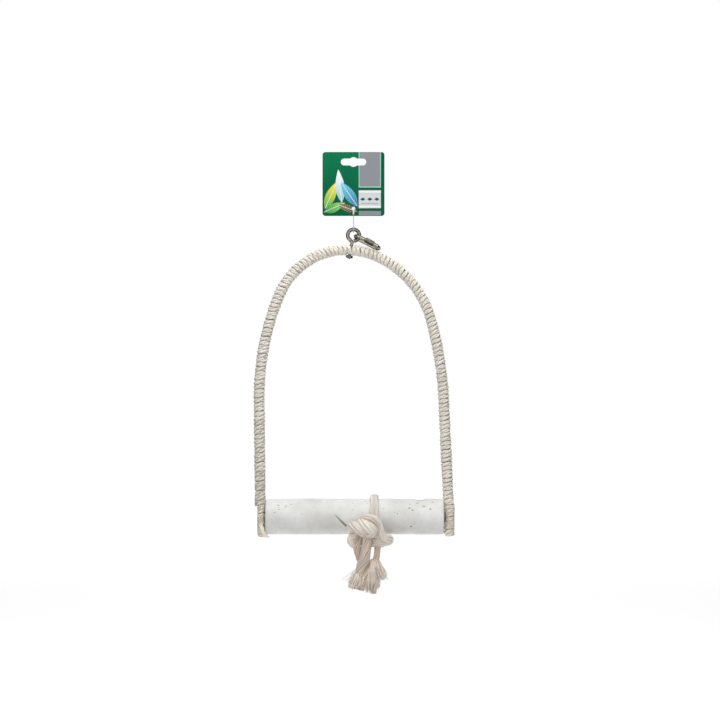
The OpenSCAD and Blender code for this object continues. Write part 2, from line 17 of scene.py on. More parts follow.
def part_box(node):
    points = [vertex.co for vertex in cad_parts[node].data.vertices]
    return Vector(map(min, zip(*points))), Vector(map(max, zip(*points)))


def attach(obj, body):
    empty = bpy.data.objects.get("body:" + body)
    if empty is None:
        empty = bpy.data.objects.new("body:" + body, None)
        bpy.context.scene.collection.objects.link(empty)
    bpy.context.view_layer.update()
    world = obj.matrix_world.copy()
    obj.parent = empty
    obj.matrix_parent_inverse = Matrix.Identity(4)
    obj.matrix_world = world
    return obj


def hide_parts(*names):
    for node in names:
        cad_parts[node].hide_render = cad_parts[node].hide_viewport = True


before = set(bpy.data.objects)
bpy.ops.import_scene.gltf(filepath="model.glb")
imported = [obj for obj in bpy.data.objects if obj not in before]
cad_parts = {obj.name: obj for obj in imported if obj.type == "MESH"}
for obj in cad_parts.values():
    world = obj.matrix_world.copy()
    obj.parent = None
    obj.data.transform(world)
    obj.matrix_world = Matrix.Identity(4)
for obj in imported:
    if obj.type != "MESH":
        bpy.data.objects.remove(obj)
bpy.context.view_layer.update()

MM = 0.001
WELD = 1e-6
TAU = 2 * math.pi
UP = np.array([0.0, 0.0, 1.0])
BACK = np.array([0.0, 1.0, 0.0])
Array = np.ndarray
Colour = tuple[float, float, float, float]
Place = tuple[float, float, float]
Route = tuple[tuple[float, float, float, float], ...]
LOG = logging.getLogger("bird_swing")


def srgb(red: float, green: float, blue: float) -> Colour:
    """A linear colour from the three parts of a display colour, 0 to 255."""
    parts = [c / 255 for c in (red, green, blue)]
    line = [c / 12.92 if c <= 0.04045 else ((c + 0.055) / 1.055) ** 2.4 for c in parts]
    return (line[0], line[1], line[2], 1.0)


def centre_of(node: str) -> Vector:
    """The middle of a CAD node's box."""
    low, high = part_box(node)
    return (low + high) / 2


def smooth_step(x: Array) -> Array:
    """An ease from 0 to 1 for x from 0 to 1."""
    x = np.clip(x, 0.0, 1.0)
    return x * x * (3 - 2 * x)


def wobble(x: Array, step: float, seed: int) -> Array:
    """A smooth unevenness from -1 to 1.

    Args:
        x: Places along a line.
        step: Distance between the random values that it joins.
        seed: Names one of the possible lines.

    Returns:
        One value for each place.
    """
    share = (np.asarray(x) - np.min(x)) / step
    knots = np.random.default_rng(seed).uniform(-1, 1, int(np.max(share)) + 3)
    index = share.astype(int)
    ease = smooth_step(share - index)
    return knots[index] * (1 - ease) + knots[index + 1] * ease


def unit(v: Array) -> Array:
    """Each row of v at length 1."""
    return v / np.maximum(np.linalg.norm(v, axis=-1, keepdims=True), 1e-12)


def lengths(line: Array) -> Array:
    """The length along a line up to each of its points."""
    steps = np.linalg.norm(np.diff(line, axis=0), axis=1)
    return np.concatenate([[0], np.cumsum(steps)])


def through(points: Sequence[Sequence[float]], step: float) -> Array:
    """A smooth line through a route's points.

    Args:
        points: Rows of x, y, z and any further values, in millimetres.
        step: Spacing of the new rows, in millimetres.

    Returns:
        Rows of the same width, in metres.
    """
    p = np.array(points, float)
    last = len(p) - 1
    rows = []
    for i in range(last):
        a, b = p[max(i - 1, 0)], p[i]
        c, d = p[i + 1], p[min(i + 2, last)]
        count = max(2, round(float(np.linalg.norm(c[:3] - b[:3])) / step))
        t = (np.arange(count) / count)[:, None]
        rows.append(0.5 * (2 * b + (c - a) * t + (2 * a - 5 * b + 4 * c - d) * t ** 2
                           + (3 * b - a - 3 * c + d) * t ** 3))
    rows.append(p[last:])
    return np.concatenate(rows) * MM


class Value:
    """A shader number that takes part in Python arithmetic."""

    def __init__(self, nodes: "Nodes", socket: bpy.types.NodeSocket) -> None:
        """Wraps an output socket of one of the nodes."""
        self.nodes = nodes
        self.socket = socket

    def math(self, operation: str, *others: "Value | float") -> "Value":
        """The result of a Math node that starts with this value."""
        return self.nodes.calculate(operation, self, *others)

    def __add__(self, other: "Value | float") -> "Value":
        """This value plus another."""
        return self.math("ADD", other)

    def __sub__(self, other: "Value | float") -> "Value":
        """This value less another."""
        return self.math("SUBTRACT", other)

    def __rsub__(self, other: float) -> "Value":
        """A number less this value."""
        return self.nodes.calculate("SUBTRACT", other, self)

    def __mul__(self, other: "Value | float") -> "Value":
        """This value times another."""
        return self.math("MULTIPLY", other)

    def __truediv__(self, other: "Value | float") -> "Value":
        """This value divided by another."""
        return self.math("DIVIDE", other)

    def __abs__(self) -> "Value":
        """This value without its sign."""
        return self.math("ABSOLUTE")

    def over(self, low: float, high: float) -> "Value":
        """A soft step from 0 at low to 1 at high."""
        return self.nodes.value(
            "ShaderNodeMapRange", {"Value": self, "From Min": low, "From Max": high,
                                   "To Min": 0.0, "To Max": 1.0},
            interpolation_type="SMOOTHSTEP")


class Nodes:
    """A node tree and short ways to fill it."""

    def __init__(self, tree: bpy.types.NodeTree) -> None:
        """Takes a tree over and empties it."""
        self.tree = tree
        tree.nodes.clear()

    def node(self, kind: str, inputs: dict | None = None,
             **settings: object) -> bpy.types.Node:
        """Adds a node.

        Args:
            kind: The node's type.
            inputs: What each input gets, a number, a colour, a Value or a socket.
            settings: The node's properties.

        Returns:
            The new node.
        """
        made = self.tree.nodes.new(kind)
        for key, setting in settings.items():
            setattr(made, key, setting)
        for key, given in (inputs or {}).items():
            self.feed(made.inputs[key], given)
        return made

    def feed(self, socket: bpy.types.NodeSocket, given: object) -> None:
        """Gives an input its link or its fixed value."""
        if isinstance(given, Value):
            given = given.socket
        if isinstance(given, bpy.types.NodeSocket):
            self.tree.links.new(given, socket)
        else:
            socket.default_value = given

    def value(self, kind: str, inputs: dict | None = None, output: int | str = 0,
              **settings: object) -> Value:
        """Adds a node and wraps one of its outputs."""
        return Value(self, self.node(kind, inputs, **settings).outputs[output])

    def calculate(self, operation: str, *inputs: Value | float) -> Value:
        """The result of a Math node."""
        return self.value("ShaderNodeMath", dict(enumerate(inputs)), operation=operation)

    def looked_at(self) -> Value:
        """1 where the eye sees a place, also in a mirror or through plastic, else 0."""
        rays = self.node("ShaderNodeLightPath").outputs
        eye, mirror, clear = (Value(self, rays[f"Is {kind} Ray"])
                              for kind in ("Camera", "Glossy", "Transmission"))
        return eye.math("MAXIMUM", mirror).math("MAXIMUM", clear)


class Paint(Nodes):
    """One material and the nodes that make it."""

    def __init__(self, name: str) -> None:
        """Makes a material with a Principled shader alone."""
        self.material = bpy.data.materials.new(name)
        self.material.use_nodes = True
        super().__init__(self.material.node_tree)
        self.shader = self.node("ShaderNodeBsdfPrincipled")
        self.node("ShaderNodeOutputMaterial", {0: self.shader.outputs[0]})

    def place(self) -> bpy.types.NodeSocket:
        """The point's place in the object's own frame, in metres."""
        return self.node("ShaderNodeTexCoord").outputs["Object"]

    def axes(self, vector: bpy.types.NodeSocket) -> tuple[Value, Value, Value]:
        """The three parts of a vector."""
        parts = self.node("ShaderNodeSeparateXYZ", {0: vector})
        return tuple(Value(self, parts.outputs[i]) for i in range(3))

    def attribute(self, name: str) -> Value:
        """A number that the mesh carries on its points."""
        return self.value("ShaderNodeAttribute", output="Fac", attribute_name=name)

    def noise(self, scale: float, detail: float = 3.0, rough: float = 0.5,
              where: bpy.types.NodeSocket | None = None) -> Value:
        """Cloudy noise from 0 to 1, with scale in cells a metre."""
        return self.value("ShaderNodeTexNoise", {
            "Vector": where or self.place(), "Scale": scale, "Detail": detail,
            "Roughness": rough}, noise_dimensions="3D")

    def mix(self, factor: Value | float, first: object, second: object
            ) -> bpy.types.NodeSocket:
        """A colour between two others."""
        return self.node("ShaderNodeMix", {"Factor": factor, 6: first, 7: second},
                         data_type="RGBA").outputs[2]

    def bump(self, height: Value, depth: float) -> None:
        """Raises the surface by a height from 0 to 1 times depth, in metres."""
        made = self.node("ShaderNodeBump",
                         {"Strength": 1.0, "Distance": depth, "Height": height})
        self.set(Normal=made.outputs[0])

    def set(self, **inputs: object) -> None:
        """Sets the shader's inputs, with _ in place of each space."""
        for key, given in inputs.items():
            self.feed(self.shader.inputs[key.replace("_", " ")], given)


class Look:
    """A finish, which paints its own material."""

    name: str

    def build(self) -> bpy.types.Material:
        """Makes the material."""
        paint = Paint(self.name)
        self.dress(paint)
        return paint.material

    def dress(self, paint: Paint) -> None:
        """Sets the material's shader."""
        raise NotImplementedError


@dataclass(frozen=True)
class Cotton(Look):
    """Soft twisted cotton whose yarns follow the strand, with painted shade in its grooves.
    """

    name: str
    light: Colour
    dark: Colour
    groove_shade: Colour
    twist: float = 1100.0
    around: float = 2.0
    grain: float = 0.1

    def dress(self, paint: Paint) -> None:
        """Sets the material's shader."""
        u, v, _ = paint.axes(paint.node("ShaderNodeUVMap").outputs[0])
        fuzz = paint.noise(1300, 4, 0.6)
        lay = (u * (TAU * self.around) + v * self.twist + fuzz * 1.2).math("SINE")
        yarn = lay * 0.5 + 0.5
        stain = paint.noise(55, 3, 0.6)
        tone = paint.attribute("tone")
        shade = (tone * 0.6 + stain * 0.4 + yarn * self.grain + fuzz * 0.06).over(0.2, 0.95)
        body = paint.mix(shade, self.dark, self.light)
        # Painted shade: a per-point mask mixes in the groove colour where plies meet
        # between turns, face what they lie on or sit inside a bundle; part of the mask is
        # random stain along the cord.
        shade_and_stain = paint.attribute("shade_and_stain").over(0.1, 1.0)
        paint.set(Base_Color=paint.mix(shade_and_stain, body, self.groove_shade), Roughness=0.9,
                  Sheen_Weight=0.35, Sheen_Roughness=0.6, Specular_IOR_Level=0.15)
        paint.bump(yarn * 0.6 + fuzz * 0.4, 0.0001)


@dataclass(frozen=True)
class Cement(Look):
    """Pale cast cement with fine pores and a dusty tone, and painted shade in its pores,
    pits and scratch.
    """

    name: str = "cast_cement"
    light: Colour = srgb(236, 236, 234)
    dark: Colour = srgb(208, 207, 203)
    pit_shade: Colour = srgb(132, 131, 126)
    scratch: Colour = srgb(140, 136, 128)

    def dress(self, paint: Paint) -> None:
        """Sets the material's shader."""
        cloud = paint.noise(38, 5, 0.6)
        grain = paint.noise(1500, 3, 0.7)
        pores = paint.value("ShaderNodeTexVoronoi",
                            {"Vector": paint.place(), "Scale": 520.0}, "Distance",
                            feature="F1")
        some = paint.noise(120, 2, 0.5).over(0.55, 0.7)
        pore = (1 - pores.over(0.06, 0.24)) * some
        tone = (cloud * 0.7 + grain * 0.3).over(0.3, 0.72)
        body = paint.mix(tone, self.dark, self.light)
        # Painted shade: the fine pores and the pits are darkened, as the shade in these
        # hollows.
        body = paint.mix(pore * 0.6, body, self.pit_shade)
        sunk = paint.attribute("pit_shade").over(0.15, 0.9)
        body = paint.mix(sunk * 0.85, body, self.pit_shade)
        # Painted shade: the scratch's groove is darkened towards the scratch colour.
        scratch_shade = paint.attribute("scratch").over(0.1, 0.8)
        body = paint.mix(scratch_shade * 0.9, body, self.scratch)
        paint.set(Base_Color=body, Roughness=0.86, Specular_IOR_Level=0.25)
        paint.bump(grain * 0.35 + cloud * 0.3 - pore * 0.6, 0.00025)


@dataclass(frozen=True)
class Steel(Look):
    """Plated steel, a little dull and with fine rubbing marks."""

    name: str
    light: Colour
    dark: Colour
    roughness: float = 0.24

    def dress(self, paint: Paint) -> None:
        """Sets the material's shader."""
        cloud = paint.noise(420, 4, 0.6)
        rub = paint.noise(5200, 2, 0.6)
        paint.set(Base_Color=paint.mix(cloud.over(0.3, 0.7), self.dark, self.light),
                  Metallic=1.0,
                  Roughness=cloud * 0.16 + rub * 0.08 + (self.roughness - 0.12))
        paint.bump(rub * 0.5 + cloud * 0.5, 0.00003)


@dataclass(frozen=True)
class Plastic(Look):
    """Moulded plastic, clear or white."""

    name: str
    colour: Colour
    shade: Colour
    clearness: float = 0.0
    roughness: float = 0.3

    def dress(self, paint: Paint) -> None:
        """Sets the material's shader."""
        cloud = paint.noise(700, 3, 0.5)
        paint.set(Base_Color=paint.mix(cloud, self.shade, self.colour), IOR=1.49,
                  Transmission_Weight=self.clearness,
                  Roughness=cloud * 0.12 + (self.roughness - 0.06))
        paint.bump(cloud, 0.00002)


@dataclass(frozen=True)
class Wood(Look):
    """A turned dowel with its grain along X."""

    name: str = "turned_dowel"
    light: Colour = srgb(214, 182, 138)
    dark: Colour = srgb(168, 128, 84)

    def dress(self, paint: Paint) -> None:
        """Sets the material's shader."""
        stretch = paint.node("ShaderNodeMapping",
                             {0: paint.place(), 3: (0.06, 1.0, 1.0)})
        grain = paint.noise(900, 4, 0.6, stretch.outputs[0])
        paint.set(Base_Color=paint.mix(grain.over(0.3, 0.7), self.dark, self.light),
                  Roughness=grain * 0.2 + 0.55)
        paint.bump(grain, 0.0001)


@dataclass(frozen=True)
class Board(Look):
    """Bare card stock with a faint fibre."""

    name: str = "card_stock"
    colour: Colour = srgb(226, 225, 220)
    shade: Colour = srgb(212, 210, 203)

    def dress(self, paint: Paint) -> None:
        """Sets the material's shader."""
        fibre = paint.noise(1800, 4, 0.65)
        paint.set(Base_Color=paint.mix(fibre.over(0.35, 0.65), self.shade, self.colour),
                  Roughness=0.75)
        paint.bump(fibre, 0.00002)


@dataclass(frozen=True)
class Leaf:
    """One printed leaf: its middle, half length, half width, turn and colours."""

    x: float
    z: float
    reach: float
    width: float
    turn: float
    tip: Colour
    stem: Colour


@dataclass(frozen=True)
class PrintedFace(Look):
    """The card's front: a green field of leaves beside grey and pale panels."""

    name: str = "printed_face"
    green: Colour = srgb(4, 113, 73)
    deep_green: Colour = srgb(6, 88, 60)
    grey: Colour = srgb(137, 140, 146)
    pale: Colour = srgb(206, 208, 210)
    mint: Colour = srgb(158, 206, 186)
    white: Colour = srgb(236, 238, 238)
    soft: float = 0.15
    column: float = 5.05
    panels: tuple[tuple[str, float, float, float, float], ...] = (
        ("mint", 5.2, 27.4, -25.6, 10.2), ("grey", 6.0, 26.6, -24.6, 10.2),
        ("pale", 5.2, 27.4, -46.2, -28.2), ("white", 5.2, 27.4, -45.4, -43.9),
        ("white", 5.2, 27.4, -30.6, -29.2), ("grey", 7.4, 25.4, -42.0, -41.4),
        ("grey", 5.2, 27.4, -53.4, -49.0))
    spots_x: tuple[float, ...] = (9.3, 16.3, 23.3)
    spots_z: float = -37.2
    spot_half: float = 1.65
    spot_flat: float = 0.62
    leaf_taper: float = 0.25
    vein_slant: float = 0.9
    veins_per_mm: float = 2.6
    rib_half: float = 0.3
    leaves: tuple[Leaf, ...] = (
        Leaf(-22.5, -33, 15, 5.6, 66, srgb(232, 214, 48), srgb(96, 176, 56)),
        Leaf(-13.5, -24, 17, 5.2, 96, srgb(238, 240, 240), srgb(150, 198, 206)),
        Leaf(-4.5, -32, 15, 6.0, 124, srgb(92, 190, 214), srgb(44, 128, 172)),
        Leaf(-19.0, -45.5, 11.5, 5.0, 24, srgb(122, 200, 76), srgb(52, 142, 60)),
        Leaf(-6.5, -46, 10.5, 4.2, 160, srgb(126, 112, 62), srgb(76, 74, 46)),
    )

    def dress(self, paint: Paint) -> None:
        """Sets the material's shader."""
        x, _, z = paint.axes(paint.place())
        x, z = x / MM, z / MM
        cloud = paint.noise(30, 3, 0.5)
        body = paint.mix((z * -0.012 + cloud * 0.6).over(0.1, 0.95), self.green,
                         self.deep_green)
        for leaf in self.leaves:
            body = self.draw_leaf(paint, body, x, z, leaf)
        body = self.draw_panels(paint, body, x, z)
        paint.set(Base_Color=body, Roughness=0.55, Specular_IOR_Level=0.12)
        paint.bump(paint.noise(900, 3, 0.5), 0.00001)

    def draw_leaf(self, paint: Paint, body: object, x: Value, z: Value,
                  leaf: Leaf) -> bpy.types.NodeSocket:
        """Lays one leaf with a pale midrib and faint side veins over a colour."""
        c, s = math.cos(math.radians(leaf.turn)), math.sin(math.radians(leaf.turn))
        along = (x - leaf.x) * c + (z - leaf.z) * s
        across = abs((z - leaf.z) * c - (x - leaf.x) * s)
        share, taper = along / leaf.reach, self.leaf_taper
        edge = (1 - share * share) * (leaf.width * (1 - taper / 2)) * (1 - share * taper)
        veins = ((along - across * self.vein_slant) * self.veins_per_mm).math("SINE")
        tint = paint.mix((share * 0.5 + 0.5).over(0.05, 0.95), leaf.stem, leaf.tip)
        tint = paint.mix(veins.over(0.55, 0.95) * 0.28, tint, self.white)
        rib = 1 - across.over(self.rib_half - 0.12, self.rib_half + 0.12)
        tint = paint.mix(rib * 0.75, tint, self.white)
        return paint.mix((edge - across).over(-0.1, 0.25), body, tint)

    def draw_panels(self, paint: Paint, body: object, x: Value,
                    z: Value) -> bpy.types.NodeSocket:
        """Lays the right column's panels, bars and spots over a colour."""
        def past(value: Value, edge: float) -> Value:
            """A soft step where a value passes an edge."""
            return value.over(edge - self.soft, edge + self.soft)
        body = paint.mix(past(x, self.column), body, self.deep_green)
        for colour, left, right, low, high in self.panels:
            inside = (past(x, left) - past(x, right)) * (past(z, low) - past(z, high))
            body = paint.mix(inside, body, getattr(self, colour))
        for middle in self.spots_x:
            away = abs(x - middle) * self.spot_flat + abs(z - self.spots_z)
            body = paint.mix(1 - past(away, self.spot_half), body, self.deep_green)
        return body


@dataclass(frozen=True)
class StageFloor(Look):
    """A plain pale floor that shows white to the camera."""

    name: str = "stage_floor"
    colour: Colour = srgb(244, 244, 244)
    lift: float = 0.62

    def dress(self, paint: Paint) -> None:
        """Sets the material's shader."""
        glow = paint.mix(paint.looked_at() * self.lift, (0, 0, 0, 1), (1, 1, 1, 1))
        paint.set(Base_Color=self.colour, Roughness=0.9, Emission_Strength=1.0,
                  Emission_Color=glow)


class Finish(Enum):
    """The finishes that the pieces share."""

    WRAP = Cotton("wrap_cotton", srgb(246, 242, 233), srgb(216, 208, 193),
                  srgb(124, 114, 96), 1100.0, 2.0, 0.06)
    # A lighter copy of the wrap's cotton: painted light that lifts the shade on the feet.
    FOOT_BRIGHTENED = Cotton("foot_cotton_brightened", srgb(253, 248, 236), srgb(238, 229, 211),
                  srgb(168, 155, 131), 1100.0, 2.0, 0.06)
    LOOP = Cotton("loop_cotton", srgb(226, 222, 215), srgb(199, 193, 183),
                  srgb(140, 130, 118), 300.0, 3.0, 0.2)
    KNOT = Cotton("knot_cotton", srgb(244, 236, 226), srgb(206, 192, 178),
                  srgb(116, 96, 80), 260.0, 3.0, 0.2)
    TAIL = Cotton("tail_cotton", srgb(226, 210, 195), srgb(186, 167, 150),
                  srgb(92, 74, 60), 260.0, 3.0, 0.2)
    FRAY = Cotton("fray_cotton", srgb(250, 241, 230), srgb(208, 193, 177),
                  srgb(122, 104, 88), 500.0, 1.0, 0.2)
    CEMENT = Cement()
    BRIGHT = Steel("plated_steel", srgb(176, 170, 160), srgb(108, 103, 95))
    LINK = Steel("bright_link_steel", srgb(226, 220, 206), srgb(164, 157, 143))
    SLEEVE = Steel("sleeve_steel", srgb(156, 149, 138), srgb(100, 94, 86), 0.3)
    ROD = Steel("bare_steel", srgb(120, 116, 108), srgb(84, 80, 74), 0.4)
    CLEAR = Plastic("clear_nylon", srgb(228, 231, 232), srgb(206, 210, 212), 0.6)
    WHITE = Plastic("white_nylon", srgb(240, 240, 236), srgb(224, 223, 217), 0.1, 0.35)
    WOOD = Wood()
    BOARD = Board()
    FLAG = Board("dark_screen", srgb(40, 40, 42), srgb(30, 30, 32))
    PRINT = PrintedFace()
    FLOOR = StageFloor()

    @cache
    def material(self) -> bpy.types.Material:
        """The finish's material, made once."""
        return self.value.build()


def new_object(name: str, mesh: bpy.types.Mesh) -> bpy.types.Object:
    """Links a mesh to the scene as an object at the origin."""
    made = bpy.data.objects.new(name, mesh)
    bpy.context.scene.collection.objects.link(made)
    return made


def from_bmesh(name: str, work: bmesh.types.BMesh, smooth: bool = True
               ) -> bpy.types.Object:
    """Turns a finished bmesh into an object."""
    mesh = bpy.data.meshes.new(name)
    work.to_mesh(mesh)
    work.free()
    if smooth:
        mesh.polygons.foreach_set("use_smooth", [True] * len(mesh.polygons))
    return new_object(name, mesh)


def turned(section: Sequence[Sequence[float]], centre: Sequence[float],
           axis: Sequence[float], steps: int) -> bmesh.types.BMesh:
    """Turns a closed section all the way round an axis.

    Args:
        section: The section's points, in metres.
        centre: A point on the axis.
        axis: The axis's direction.
        steps: How many steps make the turn.

    Returns:
        The turned mesh.
    """
    work = bmesh.new()
    verts = [work.verts.new(point) for point in section]
    edges = [work.edges.new((verts[i - 1], verts[i])) for i in range(len(verts))]
    bmesh.ops.spin(work, geom=verts + edges, cent=centre, axis=axis, angle=TAU,
                   steps=steps, use_merge=True)
    bmesh.ops.remove_doubles(work, verts=work.verts, dist=WELD)
    bmesh.ops.recalc_face_normals(work, faces=work.faces)
    return work


def clear_perch(points: Array, spare: float = 0.0) -> Array:
    """Presses what would reach into the perch back to its end face.

    Args:
        points: Places, in metres, which it changes.
        spare: How far inside the perch's round surface it starts, in metres.

    Returns:
        The same places.
    """
    low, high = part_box("perch_shell")
    axis, half = (low + high) / 2, (high - low) / 2
    off = points[:, 0] - axis.x
    near = np.hypot(points[:, 1], points[:, 2] - axis.z) < half.z - spare
    inside = near & (np.abs(off) < half.x)
    points[inside, 0] = axis.x + np.sign(off[inside]) * half.x
    return points


def settle(piece: bpy.types.Object, finish: Finish, body: str,
           node: str) -> bpy.types.Object:
    """Dresses a piece and joins it to its body.

    Args:
        piece: The finished object.
        finish: Its finish, where it has no material yet.
        body: The CAD body that it rides on.
        node: The CAD node that it stands for.

    Returns:
        The same object.
    """
    if not piece.data.materials:
        piece.data.materials.append(finish.material())
    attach(piece, body)
    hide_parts(node)
    LOG.info("%s: %d faces on %s", piece.name, len(piece.data.polygons), body)
    return piece


@dataclass
class Strand:
    """A round strand: its centreline, radii, tone and how much painted shade and stain
    darken it.
    """

    line: Array
    radius: Array
    tone: float = 0.5
    shade_and_stain: Array | float = 0.0
    side: Array | None = None


def side_directions(line: Array) -> tuple[Array, Array]:
    """The direction along each point of a line, and one across it without twist."""
    along = unit(np.gradient(line, axis=0))
    across = np.empty_like(along)
    v = np.array([0.1, 1.0, 0.2])
    for i, t in enumerate(along):
        v = v - (v @ t) * t
        v = v / np.linalg.norm(v)
        across[i] = v
    return along, across


class Strands:
    """Sweeps many strands into one mesh."""

    def __init__(self, sides: int) -> None:
        """Starts empty, with the number of sides that each strand gets."""
        self.sides = sides
        self.points: list[Array] = []
        self.faces: list[tuple[int, ...]] = []
        self.uvs: list[Array] = []
        self.tones: list[Array] = []
        self.shades_and_stains: list[Array] = []
        self.count = 0

    def add(self, strand: Strand) -> None:
        """Sweeps one strand."""
        n, m = len(strand.line), self.sides
        along, across = side_directions(strand.line)
        if strand.side is not None:
            across = unit(strand.side - np.sum(strand.side * along, 1)[:, None] * along)
        third = np.cross(along, across)
        angle = TAU * np.arange(m) / m
        ring = (np.cos(angle)[None, :, None] * across[:, None, :]
                + np.sin(angle)[None, :, None] * third[:, None, :])
        radius = np.broadcast_to(strand.radius, (n,))
        self.points.append((strand.line[:, None, :] + radius[:, None, None] * ring
                            ).reshape(-1, 3))
        i, k = np.meshgrid(np.arange(n - 1), np.arange(m), indexing="ij")
        a = self.count + i * m + k
        b = self.count + i * m + (k + 1) % m
        walls = np.stack([a, b, b + m, a + m], -1).reshape(-1, 4)
        self.faces.extend(map(tuple, walls.tolist()))
        length = lengths(strand.line)
        low, high = length[i], length[i + 1]
        left, right = k / m, (k + 1) / m
        self.uvs.append(np.stack([left, low, right, low, right, high, left, high], -1
                                 ).reshape(-1, 2))
        last = self.count + (n - 1) * m
        self.faces.append(tuple(self.count + j for j in reversed(range(m))))
        self.faces.append(tuple(last + j for j in range(m)))
        self.uvs.append(np.zeros((2 * m, 2)))
        self.tones.append(np.full(n * m, strand.tone))
        shade_and_stain = np.broadcast_to(strand.shade_and_stain, (n,))
        self.shades_and_stains.append(np.repeat(shade_and_stain, m))
        self.count += n * m

    def build(self, name: str) -> bpy.types.Object:
        """Makes the object."""
        mesh = bpy.data.meshes.new(name)
        mesh.from_pydata(np.concatenate(self.points), [], self.faces)
        layer = mesh.uv_layers.new(name="UVMap")
        layer.data.foreach_set("uv", np.concatenate(self.uvs).ravel())
        # The strands' painted shade and stain go on the mesh as a per-point mask.
        for key, rows in (("tone", self.tones), ("shade_and_stain", self.shades_and_stains)):
            held = mesh.attributes.new(key, "FLOAT", "POINT")
            held.data.foreach_set("value", np.concatenate(rows).astype(np.float32))
        mesh.polygons.foreach_set("use_smooth", [True] * len(mesh.polygons))
        mesh.update()
        return new_object(name, mesh)


@dataclass(frozen=True)
class Yarns:
    """How a strand's yarns lie: their fit, tones and unevenness, steps in metres."""

    overlap: float = 1.12
    core_inset: float = 1.25
    core_flat: float = 1.6
    # The filled middle is painted darker, as the shade between the yarns.
    core_shade_tone: float = -0.3
    core_shade: float = 0.85
    sway: float = 0.16
    sway_step: float = 0.009
    swell: float = 0.16
    swell_step: float = 0.007
    lift: float = 0.00018
    lift_step: float = 0.006
    tones: float = 0.22


def bundle(strands: Strands, route: Array, yarns: int, twist: float, seed: int,
           tone: float = 0.5, flat: float = 1.0, side: Array | None = None) -> None:
    """Adds a strand of parallel yarns round a filled middle.

    Args:
        strands: Takes the yarns.
        route: Rows of x, y, z and radius, in metres.
        yarns: How many yarns show round the strand.
        twist: Turns of the yarns in a metre.
        seed: Names one of the possible bundles.
        tone: How pale the bundle is, from 0 to 1.
        flat: The strand's thickness as a share of its width.
        side: The direction of its width, where it is flat.
    """
    lay = Yarns()
    line, radius = route[:, :3], route[:, 3]
    along, across = side_directions(line)
    if side is not None:
        across = np.broadcast_to(side, line.shape)
    third = np.cross(along, across) * flat
    length = lengths(line)
    share = math.sin(math.pi / yarns)
    thick = radius * share / (1 + share) * lay.overlap
    core = (radius - thick * lay.core_inset) * min(1.0, flat * lay.core_flat)
    # The filled middle is painted darker, as shade seen between the yarns.
    strands.add(Strand(line, core, tone + lay.core_shade_tone, lay.core_shade))
    draw = np.random.default_rng(seed)
    for k in range(yarns):
        sway = lay.sway * wobble(length, lay.sway_step, seed * 31 + k)
        angle = TAU * (k / yarns + twist * length) + sway
        size = thick * (1 + lay.swell * wobble(length, lay.swell_step, seed * 17 + k))
        out = radius - thick + lay.lift * wobble(length, lay.lift_step, seed * 13 + k)
        places = line + out[:, None] * (np.cos(angle)[:, None] * across
                                        + np.sin(angle)[:, None] * third)
        strands.add(Strand(places, size, tone + draw.uniform(-lay.tones, lay.tones)))


@dataclass
class ArchLine:
    """The arch's centreline, as straight legs and arcs, with sizes in millimetres."""

    height: float = 266.7
    apex_x: float = -8.2
    left_drop: float = 150.0
    right_drop: float = 150.0
    left_lean: float = -0.6
    right_lean: float = 2.6
    left_bow: tuple[float, float] = (270.0, 22.5)
    right_bow: tuple[float, float] = (360.0, 13.2)
    break_turn: float = 60.0
    sample: float = 0.05

    def __post_init__(self) -> None:
        """Works out the places along the whole line."""
        self.foot_z = centre_of("perch_shell").z / MM
        self.left_x = centre_of("foot_binding_left").x / MM
        self.right_x = centre_of("foot_binding_right").x / MM
        left = self.side(self.apex_x - self.left_x, self.left_drop, self.left_lean,
                         self.left_bow)
        right = self.side(self.right_x - self.apex_x, self.right_drop, self.right_lean,
                          self.right_bow)
        runs = left + right[::-1]
        turns, places = [math.radians(self.left_lean)], [0.0]
        for length, turn in runs:
            places.append(places[-1] + length)
            turns.append(turns[-1] + math.radians(turn))
        self.length = places[-1]
        self.s = np.arange(0, self.length, self.sample)
        self.angle = np.interp(self.s, places, turns)
        middle = (self.angle[1:] + self.angle[:-1]) / 2
        step = np.diff(self.s)
        self.x = self.left_x + np.concatenate([[0], np.cumsum(np.sin(middle) * step)])
        self.z = self.foot_z + np.concatenate([[0], np.cumsum(np.cos(middle) * step)])

    def side(self, reach: float, drop: float, lean: float,
             bow: tuple[float, float]) -> list[tuple[float, float]]:
        """One side's runs as length and turn in degrees, from the foot to the apex."""
        leg = (self.height - drop) / math.cos(math.radians(lean))
        a, b = math.radians(lean), math.radians(lean + bow[1])
        c = math.radians(self.break_turn)
        far = reach - leg * math.sin(a) - bow[0] * (math.cos(a) - math.cos(b))
        rise = self.height - leg * math.cos(a) - bow[0] * (math.sin(b) - math.sin(a))
        shoulder, crown = np.linalg.solve(
            [[math.cos(b) - math.cos(c), math.cos(c)],
             [math.sin(c) - math.sin(b), 1 - math.sin(c)]], [far, rise])
        return [(leg, 0.0), (bow[0] * (b - a), bow[1]),
                (shoulder * (c - b), math.degrees(c - b)),
                (crown * (math.pi / 2 - c), 90 - math.degrees(c))]

    def at(self, s: Array) -> tuple[Array, Array, Array]:
        """Places in metres, outward normals and directions at lengths s."""
        angle = np.interp(s, self.s, self.angle)
        zero = np.zeros_like(angle)
        place = np.stack([np.interp(s, self.s, self.x), zero,
                          np.interp(s, self.s, self.z)], -1) * MM
        normal = np.stack([-np.cos(angle), zero, np.sin(angle)], -1)
        along = np.stack([np.sin(angle), zero, np.cos(angle)], -1)
        return place, normal, along

    def length_at(self, x: float) -> float:
        """The length at which the line passes over x, in millimetres."""
        return float(np.interp(x, self.x, self.s))


